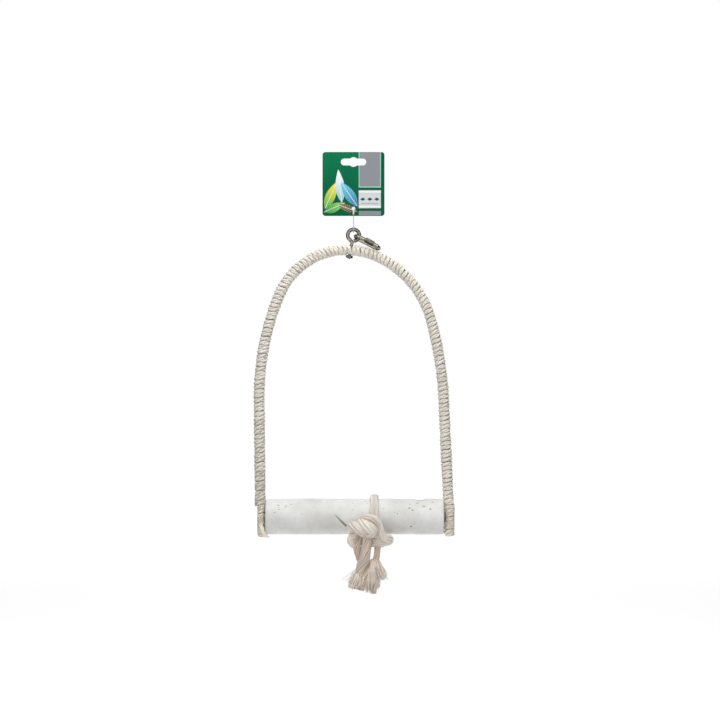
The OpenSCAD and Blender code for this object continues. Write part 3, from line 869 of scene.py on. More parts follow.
@dataclass
class Cord:
    """The two ply cord that is wound on the arch, with sizes in millimetres."""

    plies: int = 2
    sides: int = 7
    turn_steps: int = 36
    twist: float = 15.0
    ply_share: float = 0.41
    ply_reach: float = 0.9
    ply_tone: float = 0.1
    shade: float = 0.2
    core_r: float = 0.275
    core_side: float = 0.25
    # How much painted shade the core strands get.
    core_shade: float = 0.5
    slow: float = 70.0
    fast: tuple[float, float] = (9.0, 11.0)
    fibre_r: float = 0.06
    fibre_l: tuple[float, float] = (0.9, 2.6)

    def lay(self, strands: Strands, centre: Array, out: Array, along: Array,
            width: Array, thick: Array, seed: int, tones: float = 0.55) -> None:
        """Adds the plies of a stretch of cord.

        Args:
            strands: Takes the plies.
            centre: The cord's centreline, in metres.
            out: Directions away from what the cord lies on.
            along: Directions along the rod, across the cord.
            width: The cord's width at each place, in millimetres.
            thick: Its thickness, in millimetres.
            seed: Names one of the possible cords.
            tones: How pale the cord is, from 0 to 1.
        """
        length = lengths(centre) / MM
        core = width * self.core_r
        # The core strands fill the gaps between the plies and are painted darker, as shade.
        for side in (-self.core_side, self.core_side):
            line = centre + ((core - thick / 2)[:, None] * out
                             + (side * width)[:, None] * along) * MM
            strands.add(Strand(line, core * MM, tones - self.ply_tone, self.core_shade, out))
        stain = 0.16 * wobble(length, self.slow, seed * 3)
        for k in range(self.plies):
            size = thick * (self.ply_share
                            + 0.02 * wobble(length, self.fast[0], seed * 7 + k))
            turn = TAU * (length / self.twist + k / self.plies
                          + 0.07 * wobble(length, self.fast[1], seed * 5 + k))
            rise = (thick / 2 - size) * np.cos(turn)
            shift = (width / 2 - size * self.ply_reach) * np.sin(turn)
            line = centre + (rise[:, None] * out + shift[:, None] * along) * MM
            # Painted shade: plies darken at the cord's edges, where turns meet, and on the
            # side towards the rod; the slow wobble added to it is stain.
            shade_and_stain = self.shade * (np.sin(turn) ** 4 + np.clip(-np.cos(turn), 0, 1)) + stain
            tone = tones + self.ply_tone * (k - 0.5)
            strands.add(Strand(line, size * MM, tone, shade_and_stain, out))

    def fuzz(self, strands: Strands, centre: Array, out: Array, thick: Array,
             count: int, seed: int) -> None:
        """Adds short loose fibres that stand off the cord."""
        draw = np.random.default_rng(seed)
        steps = np.linspace(0, 1, 5)[:, None]
        flow = unit(np.gradient(centre, axis=0))
        for i in draw.integers(2, len(centre) - 2, count):
            lean = unit(out[i] * draw.uniform(0.5, 1.2) + flow[i] * draw.uniform(-1, 1)
                        + draw.normal(0, 0.5, 3))
            start = centre[i] + out[i] * float(thick[i]) * 0.42 * MM
            reach = draw.uniform(*self.fibre_l) * MM
            curl = draw.normal(0, 0.5, 3) * reach
            line = start + steps * lean * reach + steps ** 2 * curl
            strands.add(Strand(line, self.fibre_r * MM * (1 - 0.5 * steps[:, 0]), 0.75))


@dataclass
class ArchWinding:
    """The cord wound round the arch, in two stretches that meet at the eye bolt."""

    line: ArchLine
    cord: Cord
    rod_r: float = 3.0
    thick: float = 2.85
    rise: float = 13.2
    left_pitch: float = 4.9
    middle_pitch: float = 4.4
    right_pitch: float = 4.0
    bolt_reach: float = 15.1
    bolt_lean: float = 11.0
    bolt_room: float = 3.2
    lean_shift: float = 0.7
    even_from: float = 0.55
    drift: float = 0.07
    overlap: float = 0.02
    fibres: int = 200

    def pitch_at(self, s: Array) -> Array:
        """The spacing of the turns at a length along the arch."""
        whole = self.line.length
        even = whole / 2 * self.even_from
        return np.interp(s, [0, even, whole - even, whole],
                         [self.left_pitch, self.middle_pitch, self.middle_pitch,
                          self.right_pitch])

    def turns_between(self, low: float, high: float) -> tuple[Array, Array]:
        """Turn numbers and lengths along the arch, for a count that ends on a half."""
        s = np.linspace(low, high, 2000)
        turn = np.concatenate([[0], np.cumsum(np.diff(s) / self.pitch_at(s[1:]))])
        return turn * ((round(turn[-1]) + 0.5) / turn[-1]), s

    def helix(self) -> tuple[Array, Array, float]:
        """Turn numbers and lengths along the arch, and the bolt's length on it."""
        lean = math.radians(self.bolt_lean)
        cross = self.line.length_at(-self.bolt_reach * math.sin(lean))
        left, left_s = self.turns_between(self.rise, cross)
        right, right_s = self.turns_between(cross, self.line.length - self.rise)
        return (np.concatenate([left, left[-1] + right[1:]]),
                np.concatenate([left_s, right_s[1:]]), cross)

    def make_way(self, turn: Array, s: Array, turn_of: Array, s_of: Array,
                 cross: float) -> Array:
        """Pushes the turns apart above and below the arch where the bolt goes through."""
        half = np.round(turn * 2) / 2
        near = (np.interp(half, turn_of, s_of) - cross
                - self.lean_shift * np.cos(TAU * half))
        gap = np.abs(near)
        push = (gap ** 1.5 + self.bolt_room ** 1.5) ** (2 / 3) - gap
        share = smooth_step((np.cos(TAU * turn) ** 2 - 0.3) / 0.5)
        return s + np.where(near > -0.5, 1, -1) * push * share

    def stretch(self, name: str, low: float, high: float, seed: int) -> bpy.types.Object:
        """Builds the turns from low to high as one object."""
        turn_of, s_of, cross = self.helix()
        turn = np.arange(low, high, 1 / self.cord.turn_steps)
        s = np.interp(turn, turn_of, s_of)
        pitch = self.pitch_at(s)
        s = s + pitch * self.drift * wobble(turn, 0.61, seed)
        s = self.make_way(turn, s, turn_of, s_of, cross)
        place, normal, along = self.line.at(s)
        angle = TAU * turn[:, None]
        out = np.cos(angle) * normal - np.sin(angle) * BACK
        thick = self.thick * (1 + 0.05 * wobble(turn, 0.9, seed + 1))
        width = pitch * (0.97 + 0.06 * wobble(turn, 0.7, seed + 2))
        swell = 0.2 * wobble(turn, 2.6, seed + 3) - 0.05
        centre = place + out * ((self.rod_r + thick / 2 + swell) * MM)[:, None]
        strands = Strands(self.cord.sides)
        self.cord.lay(strands, centre, out, along, width, thick, seed)
        strands.points = [clear_perch(p) for p in strands.points]
        self.cord.fuzz(strands, centre, out, thick, self.fibres, seed)
        return strands.build(name)

    def build(self) -> None:
        """Builds both stretches."""
        turn_of, s_of, cross = self.helix()
        middle = float(np.interp(cross, s_of, turn_of)) + 0.25
        for side, low, high, seed in (("left", 0, middle + self.overlap, 11),
                                      ("right", middle - self.overlap, turn_of[-1], 23)):
            settle(self.stretch(f"cord_winding_{side}", low, high, seed), Finish.WRAP,
                   "swing", f"arch_winding_{side}")


@dataclass
class FootBinding:
    """The cord over a flattened foot, with its end tucked under."""

    side: str
    cord: Cord
    shift: float
    half_x: float
    half_y: float = 5.5
    thick: float = 2.3
    top: float = 13.6
    bottom: float = -18.1
    pitch: float = 4.1
    close_turns: float = 1.6
    close_share: float = 0.8
    close_drop: float = 0.9
    fibres: int = 60
    spare: float = 0.6
    end_route: Route = (
        (0.5, -6, -8, 1.9), (2.2, -7.5, -12, 2.2), (3.4, -7.8, -15.4, 2.2),
        (4.8, -7.6, -18, 2.0), (6.8, -6.8, -19.5, 1.5), (8.4, -6, -19.9, 1.0))
    end_fibres: int = 40

    def build(self) -> None:
        """Builds the binding and, on the left, its loose end."""
        foot_x = centre_of(f"foot_binding_{self.side}").x / MM
        perch_z = centre_of("perch_shell").z / MM
        turns = (self.top - self.bottom) / self.pitch
        turn = np.arange(-self.close_turns, turns, 1 / self.cord.turn_steps)
        closing = np.clip(-turn / self.close_turns, 0, 1)
        share = 1 - self.close_share * closing
        angle = TAU * turn
        seed = 41 if self.side == "left" else 57
        sway = 1 + 0.06 * wobble(turn, 0.6, seed)
        x = self.half_x * share * sway * np.cos(angle) + self.shift
        y = self.half_y * share * np.sin(angle)
        z = (self.bottom + self.pitch * np.maximum(turn, 0)
             - self.close_drop * smooth_step(closing * 2)
             + 0.35 * wobble(turn, 0.4, seed + 1))
        centre = np.stack([foot_x + x, y, perch_z + z], -1) * MM
        out = unit(np.stack([np.cos(angle) / self.half_x, np.sin(angle) / self.half_y,
                             0 * angle], -1))
        out = unit(out * (1 - closing)[:, None] - UP * closing[:, None])
        across = unit(UP[None, :] * (1 - closing)[:, None]
                      + unit(np.stack([x, y, 0 * x], -1)) * closing[:, None])
        thick = np.full(len(turn), self.thick)
        width = (self.pitch * (0.98 + 0.08 * wobble(turn, 0.5, seed + 2))
                 * (1 - 0.2 * closing))
        strands = Strands(self.cord.sides)
        self.cord.lay(strands, centre, out, across, width, thick, seed)
        self.cord.fuzz(strands, centre, out, thick, self.fibres, seed)
        if self.side == "left":
            self.loose_end(strands, foot_x, perch_z)
        strands.points = [clear_perch(p, self.spare * MM) for p in strands.points]
        settle(strands.build(f"cord_binding_{self.side}"), Finish.FOOT_BRIGHTENED, "swing",
               f"foot_binding_{self.side}")

    def loose_end(self, strands: Strands, foot_x: float, perch_z: float) -> None:
        """Adds the cord's end, which curls out under the perch and frays."""
        route = through(self.end_route, 0.6)
        route[:, :3] += np.array([foot_x, 0, perch_z]) * MM
        bundle(strands, route, 5, 60, 71, 0.6)
        tip, flow = route[-1, :3], unit(route[-1, :3] - route[-3, :3])
        draw = np.random.default_rng(72)
        steps = np.linspace(0, 1, 5)[:, None]
        for _ in range(self.end_fibres):
            spread = unit(flow + draw.normal(0, 0.35, 3))
            reach = draw.uniform(1, 3) * MM
            start = tip - flow * draw.uniform(0, 2) * MM + draw.normal(0, 0.4, 3) * MM
            strands.add(Strand(start + steps * spread * reach,
                               0.1 * MM * (1.2 - steps[:, 0]), 0.6))


@dataclass
class Pit:
    """One hollow in the cement, placed by its height or else by its turn in degrees."""

    x: float
    height: float
    long: float
    wide: float
    depth: float
    slant: float = 0.0
    turn: float | None = None
    # How strongly the hollow is painted dark, as shade.
    tint: float = 1.0

    def angle(self, reach: float) -> float:
        """How far round from the perch's front it lies, for a perch of this radius."""
        if self.turn is None:
            return math.asin(min(1.0, self.height / reach))
        return math.radians(self.turn)


@dataclass
class Perch:
    """The cement perch, with its pits, a scratch and a chipped edge."""

    rings: int = 300
    sides: int = 250
    edge_r: float = 2.2
    bore_r: float = 7.1
    pits: tuple[Pit, ...] = (
        Pit(65.5, 18.0, 5.4, 7.6, 1.8, tint=0.6), Pit(62.6, 14.4, 2.4, 0.5, 0.5, 35),
        Pit(54.2, 9.8, 1.3, 0.8, 0.6, -40), Pit(57.4, 7.6, 1.2, 0.8, 0.6, -40),
        Pit(68.6, 11.4, 2.0, 0.6, 0.6), Pit(75.1, 8.8, 0.9, 0.9, 0.9),
        Pit(56.0, -8.8, 1.3, 0.9, 0.7, 10), Pit(59.3, -6.2, 0.9, 0.5, 0.3, 40),
        Pit(54.9, 13.5, 1.2, 0.5, 0.4), Pit(77.4, 15.2, 1.4, 0.6, 0.3, 15),
        Pit(41.0, 14.8, 1.2, 0.5, 0.4), Pit(47.0, 15.0, 1.1, 0.4, 0.4),
        Pit(39.3, 5.2, 0.7, 0.5, 0.5), Pit(42.3, 4.1, 0.8, 0.6, 0.6, 60),
        Pit(28.6, 9.0, 0.6, 0.5, 0.4), Pit(11.2, 16.2, 1.2, 0.5, 0.5, -30),
        Pit(12.9, 14.2, 0.8, 0.5, 0.5, -50), Pit(-2.0, 14.2, 0.7, 0.5, 0.4),
        Pit(-2.5, 8.1, 0.8, 0.5, 0.4), Pit(-63.0, 13.2, 0.8, 0.7, 0.7),
        Pit(-68.5, 11.4, 1.3, 0.6, 0.5, 20), Pit(-76.0, 12.2, 1.4, 0.6, 0.4),
        Pit(-75.0, 8.4, 1.3, 0.5, 0.4), Pit(-79.5, 5.4, 1.0, 0.5, 0.4, 20),
        Pit(-41.0, 10.5, 0.6, 0.5, 0.3), Pit(-28.0, 15.0, 0.7, 0.4, 0.3),
        Pit(-52.0, 4.0, 0.5, 0.4, 0.3))
    scratch_from: tuple[float, float] = (-21.2, 4.6)
    scratch_to: tuple[float, float] = (-7.2, -9.4)
    scratch_depth: float = 1.1
    scratch_half: tuple[float, float] = (0.95, 2.25)
    small_pits: int = 80
    # How strongly the small pits are painted dark, as shade.
    small_pit_shade: float = 0.45
    reach_x: float = 86.0
    swell: float = 1.2
    waves: tuple[tuple[float, float, float, int], ...] = (
        (0.07, 0.11, 0.0, 2), (0.05, 0.31, 1.7, 3), (0.025, 0.9, 0.0, -5))

    def __post_init__(self) -> None:
        """Takes the perch's middle and its size from the frame, in metres."""
        low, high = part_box("perch_shell")
        self.axis = (low + high) / 2
        self.radius = (high.z - low.z) / 2
        self.half = (high.x - low.x) / 2

    def build(self) -> None:
        """Spins the perch and wears its surface."""
        perch = from_bmesh("cement_perch", turned(self.section(), self.axis, (1, 0, 0),
                                                  self.sides))
        self.wear(perch.data)
        settle(perch, Finish.CEMENT, "swing", "perch_shell")

    def section(self) -> list[tuple[float, float, float]]:
        """The perch's closed section, with a rounded edge at each end."""
        r, half, edge = self.radius, self.half, self.edge_r * MM
        corner = [(half - edge + edge * math.sin(a), r - edge + edge * math.cos(a))
                  for a in np.linspace(0, math.pi / 2, 6)]
        flat = [(x, r) for x in np.linspace(edge - half, half - edge, self.rings)][1:-1]
        face = [(half, y) for y in np.linspace(r - edge, self.bore_r * MM, 7)][1:]
        lower = [(-x, y) for x, y in reversed(corner + face)]
        return [(self.axis.x + x, 0, self.axis.z + y)
                for x, y in lower + flat + corner + face]

    def wear(self, mesh: bpy.types.Mesh) -> None:
        """Sinks the pits, the scratch and a faint unevenness into the surface."""
        count = len(mesh.vertices)
        flat = np.empty(count * 3)
        mesh.vertices.foreach_get("co", flat)
        place = flat.reshape(-1, 3)
        x = (place[:, 0] - self.axis.x) / MM
        y, z = place[:, 1] / MM, (place[:, 2] - self.axis.z) / MM
        radius = np.hypot(y, z)
        round_angle = np.arctan2(z, -y)
        outer = smooth_step((radius - self.radius / MM + 5) / 4)
        pit_shade, sunk = np.zeros(count), np.zeros(count)
        for p in self.all_pits():
            self.sink(p, x, round_angle, pit_shade, sunk)
        scratch = self.scratch(x, round_angle)
        uneven = sum(height * np.sin(x * along + start + around * round_angle)
                     for height, along, start, around in self.waves)
        depth = (sunk + scratch * self.scratch_depth + uneven + 0.1) * outer
        share = (radius - depth) / np.maximum(radius, 1e-6)
        place[:, 1] *= share
        place[:, 2] = self.axis.z + (place[:, 2] - self.axis.z) * share
        mesh.vertices.foreach_set("co", place.ravel())
        # The pit and scratch masks go on the mesh for the material's painted shade.
        for key, held in (("pit_shade", pit_shade * outer), ("scratch", scratch * outer)):
            layer = mesh.attributes.new(key, "FLOAT", "POINT")
            layer.data.foreach_set("value", held.astype(np.float32))
        mesh.update()

    def all_pits(self) -> list[Pit]:
        """The pits that are listed one by one and small ones that crowd the ends."""
        draw = np.random.default_rng(5)
        found = list(self.pits)
        for _ in range(self.small_pits):
            x = draw.choice([draw.normal(68, 13), draw.normal(-72, 12),
                             draw.uniform(-self.reach_x, self.reach_x)],
                            p=[0.45, 0.25, 0.3])
            size = draw.uniform(0.3, 0.75)
            found.append(Pit(float(np.clip(x, -self.reach_x, self.reach_x)), 0.0,
                             size * draw.uniform(1, 2.4), size, size * 0.5,
                             draw.uniform(-50, 50), draw.uniform(-180, 180),
                             self.small_pit_shade))
        return found

    def sink(self, p: Pit, x: Array, round_angle: Array, pit_shade: Array, sunk: Array) -> None:
        """Adds one hollow and its painted shade."""
        reach = self.radius / MM
        turn = (round_angle - p.angle(reach) + math.pi) % TAU - math.pi
        across = turn * reach
        c, s = math.cos(math.radians(p.slant)), math.sin(math.radians(p.slant))
        u, v = (x - p.x) * c + across * s, across * c - (x - p.x) * s
        near = 1 - np.hypot(u / (p.long * self.swell), v / (p.wide * self.swell))
        share = smooth_step(near * 1.8)
        # The hollow's painted shade mask.
        np.maximum(pit_shade, share * p.tint, out=pit_shade)
        np.maximum(sunk, share * p.depth, out=sunk)

    def scratch(self, x: Array, round_angle: Array) -> Array:
        """How far the tapered scratch sinks at each place, from 0 to 1, and so how strongly
        it is painted dark as shade.
        """
        reach = self.radius / MM
        start, end = (np.array([x_at, math.asin(height / reach) * reach])
                      for x_at, height in (self.scratch_from, self.scratch_to))
        way = end - start
        point = np.stack([x, round_angle * reach], -1) - start
        t = point @ way / (way @ way)
        off = np.abs(point[:, 0] * way[1] - point[:, 1] * way[0]) / np.linalg.norm(way)
        half = np.interp(t, [0, 1], self.scratch_half)
        ends = smooth_step(t * 6) * smooth_step((1 - t) * 8)
        ends = ends * (0.4 + 0.6 * np.clip(t, 0, 1))
        return ends * smooth_step((1 - off / half) * 1.4)


def screw_thread(strands: Strands, start: Array, end: Array, radius: float,
                 pitch: float, height: float) -> None:
    """Adds a rod with a helical thread round it.

    Args:
        strands: Takes the rod and the thread.
        start: One end of the rod, in metres.
        end: The other end.
        radius: The radius over the thread, in metres.
        pitch: The thread's pitch, in metres.
        height: The thread's height, in metres.
    """
    line = np.linspace(start, end, 12)
    strands.add(Strand(line, np.full(12, radius - height), 0.5))
    along, across = side_directions(line)
    length = float(np.linalg.norm(end - start))
    turns = length / pitch
    t = np.linspace(0, 1, int(turns * 20))[:, None]
    angle = TAU * turns * t
    third = np.cross(along[0], across[0])
    out = np.cos(angle) * across[0] + np.sin(angle) * third
    helix = start + (end - start) * (0.02 + 0.96 * t) + out * (radius - height)
    strands.add(Strand(helix, np.full(len(t), height), 0.5, 0.0, out))


def nut(name: str, flats: float, bore: float, height: float, place: Matrix
        ) -> bpy.types.Object:
    """Makes a chamfered six sided nut.

    Args:
        name: The object's name.
        flats: The width across the flats, in metres.
        bore: The diameter of its hole, in metres.
        height: Its height along its own Z from 0, in metres.
        place: Where it goes.

    Returns:
        The object.
    """
    flat, half = flats / 2, bore / 2
    corner, face = flat / math.cos(math.pi / 6), flat * 0.97
    cut = (corner - flat) * 0.62
    lip = min(0.25 * MM, (flat - half) / 3)
    section = [(half, lip), (half + lip, 0), (face, 0), (corner, cut),
               (corner, height - cut), (face, height), (half + lip, height),
               (half, height - lip)]
    work = turned([(x, 0, z) for x, z in section], (0, 0, 0), (0, 0, 1), 72)
    for v in work.verts:
        angle = math.atan2(v.co.y, v.co.x) % (math.pi / 3) - math.pi / 6
        share = flat / math.cos(angle) / math.hypot(v.co.x, v.co.y)
        if share < 1:
            v.co.x, v.co.y = v.co.x * share, v.co.y * share
    bmesh.ops.transform(work, matrix=place, verts=work.verts)
    bmesh.ops.recalc_face_normals(work, faces=work.faces)
    made = from_bmesh(name, work)
    made.data.set_sharp_from_angle(angle=math.radians(28))
    return made


@dataclass
class EyeBolt:
    """The bent wire eye with its threaded shank and nut, sizes in millimetres.

    A bend's values are its angle round the eye, its distance from the eye's middle and
    the wire's radius there.
    """

    eye_r: float = 5.8
    wire_r: float = 1.9
    shank_r: float = 1.7
    standoff: float = 15.1
    wrap_r: float = 5.5
    nut_h: float = 2.6
    nut_flats: float = 6.0
    thread_tail: float = 0.7
    lean: float = 11.0
    thread_pitch: float = 0.7
    thread_h: float = 0.28
    plain: float = 16.1
    neck: tuple[float, ...] = (16.1, 13.1, 11.0, 8.6, 7.4)
    bends: tuple[tuple[float, float, float], ...] = ((251, 6.4, 1.75), (240, 5.95, 1.85))
    ring_turn: tuple[float, float] = (230.0, -84.0)
    end_shares: tuple[tuple[float, float], ...] = ((0.35, 0.9), (0.5, 0.6))

    def build(self) -> None:
        """Builds the bolt and its nut."""
        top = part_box("eye_bolt")[1].z
        middle = np.array([0.0, 0.0, top - (self.eye_r + self.wire_r) * MM])
        lean = math.radians(self.lean)
        down = np.array([-math.sin(lean), 0.0, -math.cos(lean)])
        foot = self.standoff + self.wrap_r + self.nut_h
        ring = [self.on_ring(a, self.eye_r) for a in np.linspace(*self.ring_turn, 28)]
        route = [(*(down * drop), self.shank_r) for drop in self.neck]
        route += [(*self.on_ring(a, reach), r) for a, reach, r in self.bends]
        route += [(*p, self.wire_r) for p in ring]
        flow = unit(ring[-1] - ring[-2])
        route += [(*(ring[-1] + flow * ahead), self.wire_r * share)
                  for ahead, share in self.end_shares]
        strands = Strands(20)
        line = through(route, 0.4)
        strands.add(Strand(line[:, :3] + middle, line[:, 3]))
        screw_thread(strands, middle + down * self.plain * MM,
                     middle + down * (foot + self.thread_tail) * MM, self.shank_r * MM,
                     self.thread_pitch * MM, self.thread_h * MM)
        settle(strands.build("wire_eye_bolt"), Finish.BRIGHT, "swing",
               "eye_bolt")
        place = (Matrix.Translation(middle) @ Matrix.Rotation(lean, 4, "Y")
                 @ Matrix.Translation((0, 0, -foot * MM)))
        settle(nut("hex_nut", self.nut_flats * MM, 2 * self.shank_r * MM, self.nut_h * MM,
                   place), Finish.SLEEVE, "swing", "eye_nut")

    def on_ring(self, angle: float, radius: float) -> Array:
        """A place at an angle round the eye, counted from +X, in millimetres."""
        a = math.radians(angle)
        return np.array([math.cos(a) * radius, 0.0, math.sin(a) * radius])


@dataclass
class QuickLink:
    """The oval wire link with its threaded ends and sleeve, sizes in millimetres."""

    dip: float = 27.331
    seat: float = 2.1
    twist: float = 76.0
    bend_r: float = 5.0
    run: float = 16.6
    wire_r: float = 1.7
    gap: tuple[float, float] = (15.6, 19.6)
    sleeve: tuple[float, float] = (10.6, 20.2)
    sleeve_flats: float = 4.9
    thread: float = 1.1
    thread_pitch: float = 0.7
    thread_h: float = 0.25
    play: float = 0.14
    eye_drop: float = 7.7

    def place(self) -> Matrix:
        """From the link's own frame to the swing's."""
        eye_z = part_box("eye_bolt")[1].z - self.eye_drop * MM
        return (Matrix.Translation((0, 0, eye_z))
                @ Matrix.Rotation(math.radians(self.dip), 4, "Y")
                @ Matrix.Translation((self.seat * MM, 0, 0))
                @ Matrix.Rotation(math.radians(self.twist - 90), 4, "X"))

    def build(self) -> None:
        """Builds the wire body and the sleeve."""
        r, far, wire, thread = self.bend_r, self.bend_r + self.run, self.wire_r, self.thread
        (low, high), (head, tail) = self.sleeve, self.gap
        ends = np.radians(np.linspace(-90, 90, 15))
        start = [(x, -r, 0, wire) for x in (high + thread, far - 0.4)]
        outer = [(far + r * math.cos(a), r * math.sin(a), 0, wire) for a in ends]
        inner = [(r - r * math.cos(a), -r * math.sin(a), 0, wire) for a in ends]
        middle = [(x, r, 0, wire) for x in np.linspace(far - 2, r + 2, 5)]
        close = [(x, -r, 0, wire) for x in (r + 1, r + 2.5, low - thread)]
        route = through(start + outer + middle + inner + close, 0.45)
        place = self.place()
        turn = np.array(place)
        strands = Strands(18)
        strands.add(Strand(route[:, :3] @ turn[:3, :3].T + turn[:3, 3], route[:, 3]))
        for span in ((high + thread, tail), (low - thread, head)):
            a, b = (np.array([x, -r, 0]) * MM @ turn[:3, :3].T + turn[:3, 3] for x in span)
            screw_thread(strands, a, b, wire * MM, self.thread_pitch * MM,
                         self.thread_h * MM)
        settle(strands.build("link_wire"), Finish.LINK, "link", "link_body")
        along = (Matrix.Translation((low * MM, -r * MM, 0))
                 @ Matrix.Rotation(math.pi / 2, 4, "Y"))
        sleeve = nut("link_nut", self.sleeve_flats * MM, (2 * wire + self.play) * MM,
                     (high - low) * MM, place @ along)
        settle(sleeve, Finish.SLEEVE, "sleeve", "link_sleeve")


@dataclass
class HeaderCard:
    """The printed card with its hang slot, sizes in millimetres."""

    corner_r: float = 3.0
    slot_l: float = 25.4
    slot_h: float = 6.8
    hub_d: float = 9.6
    hole_d: float = 3.6
    hole_z: float = -46.5
    lip: float = 0.08

    def arc(self, x: float, z: float, r: float, start: float, end: float,
            count: int) -> list[tuple[float, float]]:
        """Points on an arc, with angles in degrees."""
        return [(x + r * math.cos(math.radians(a)), z + r * math.sin(math.radians(a)))
                for a in np.linspace(start, end, count)]

    def outlines(self) -> list[list[tuple[float, float]]]:
        """The card's edge, its slot and its small hole."""
        low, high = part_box("header_card")
        r = self.corner_r
        x, bottom, top = high.x / MM - r, low.z / MM + r, high.z / MM - r
        corners = ((x, top), (-x, top), (-x, bottom), (x, bottom))
        edge = [point for i, (mid_x, mid_z) in enumerate(corners)
                for point in self.arc(mid_x, mid_z, r, 90 * i, 90 * i + 90, 9)]
        wing, half, hub = (self.slot_l - self.slot_h) / 2, self.slot_h / 2, self.hub_d / 2
        meet = math.degrees(math.asin(half / hub))
        slot = [point for x, r, start, end in (
                    (wing, half, -90, 90), (0, hub, meet, 180 - meet),
                    (-wing, half, 90, 270), (0, hub, 180 + meet, 360 - meet))
                for point in self.arc(x, 0, r, start, end, 17)]
        hole = self.arc(0, self.hole_z, self.hole_d / 2, 0, 352.5, 47)
        return [edge, slot, hole]

    def build(self) -> None:
        """Fills the outlines, thickens them and prints the front."""
        low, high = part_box("header_card")
        curve = bpy.data.curves.new("card", "CURVE")
        curve.dimensions, curve.fill_mode = "2D", "BOTH"
        curve.extrude = (high.y - low.y) / 2 - self.lip * MM
        curve.bevel_depth, curve.bevel_resolution = self.lip * MM, 1
        curve.offset = -self.lip * MM
        for points in self.outlines():
            spline = curve.splines.new("POLY")
            spline.points.add(len(points) - 1)
            for held, (x, z) in zip(spline.points, points):
                held.co = (x * MM, z * MM, 0, 1)
            spline.use_cyclic_u = True
        flat = bpy.data.objects.new("flat_card", curve)
        bpy.context.scene.collection.objects.link(flat)
        mesh = bpy.data.meshes.new_from_object(flat)
        bpy.data.objects.remove(flat)
        work = bmesh.new()
        work.from_mesh(mesh)
        bmesh.ops.remove_doubles(work, verts=work.verts, dist=WELD)
        bmesh.ops.transform(work, matrix=Matrix.Rotation(math.pi / 2, 4, "X"),
                            verts=work.verts)
        bmesh.ops.recalc_face_normals(work, faces=work.faces)
        for face in work.faces:
            face.material_index = 0 if face.normal.y < -0.6 else 1
        card = from_bmesh("printed_card", work, smooth=False)
        for finish in (Finish.PRINT, Finish.BOARD):
            card.data.materials.append(finish.material())
        settle(card, Finish.PRINT, "card", "header_card")


@dataclass
class TagLoop:
    """The clear strand that ties the card to the eye, and its lock, in millimetres."""

    hole_z: float = -46.5
    span: float = 20.9
    top_r: float = 1.0
    low_r: float = 2.6
    strand_r: float = 0.5
    neck_share: float = 0.62
    lock_shares: tuple[float, float] = (0.62, 0.72)
    lock_edge: float = 0.28

    def build(self) -> None:
        """Builds the strand and the lock."""
        slant = math.asin((self.low_r - self.top_r) / self.span)
        top = np.linspace(slant, math.pi - slant, 25)
        low = np.linspace(math.pi - slant, TAU + slant, 33)
        ring = [(0, r * math.cos(a), z + r * math.sin(a))
                for angles, r, z in ((top, self.top_r, self.hole_z),
                                     (low, self.low_r, self.hole_z - self.span))
                for a in angles]
        work = bmesh.new()
        circles = []
        points = np.array(ring) * MM
        flow = unit(np.roll(points, -1, 0) - np.roll(points, 1, 0))
        for p, t in zip(points, flow):
            turn = Vector(t).to_track_quat("Z", "X").to_matrix().to_4x4()
            made = bmesh.ops.create_circle(work, segments=12, radius=self.strand_r * MM,
                                           matrix=Matrix.Translation(p) @ turn)
            circles.append(list({e for v in made["verts"] for e in v.link_edges}))
        for i, circle in enumerate(circles):
            bmesh.ops.bridge_loops(work, edges=circles[i - 1] + circle)
        bmesh.ops.recalc_face_normals(work, faces=work.faces)
        settle(from_bmesh("tag_strand", work), Finish.CLEAR, "loop",
               "tag_loop")
        self.build_lock()

    def build_lock(self) -> None:
        """Builds the lock as a rounded block that narrows towards its foot."""
        low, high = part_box("tag_lock")
        size = high - low
        work = bmesh.new()
        bmesh.ops.create_cube(work, size=1, matrix=Matrix.Translation((low + high) / 2)
                              @ Matrix.Diagonal((*size, 1)))
        cut = low.z + size.z * self.neck_share
        bmesh.ops.bisect_plane(work, geom=work.verts[:] + work.edges[:] + work.faces[:],
                               plane_co=(0, 0, cut), plane_no=(0, 0, 1))
        for v in work.verts:
            if v.co.z < cut + WELD:
                v.co.x *= self.lock_shares[v.co.z > low.z + WELD]
        bmesh.ops.bevel(work, geom=work.edges[:], offset=self.lock_edge * MM, segments=3,
                        profile=0.5, affect="EDGES", material=-1)
        bmesh.ops.recalc_face_normals(work, faces=work.faces)
        settle(from_bmesh("nylon_lock", work), Finish.WHITE, "loop",
               "tag_lock")


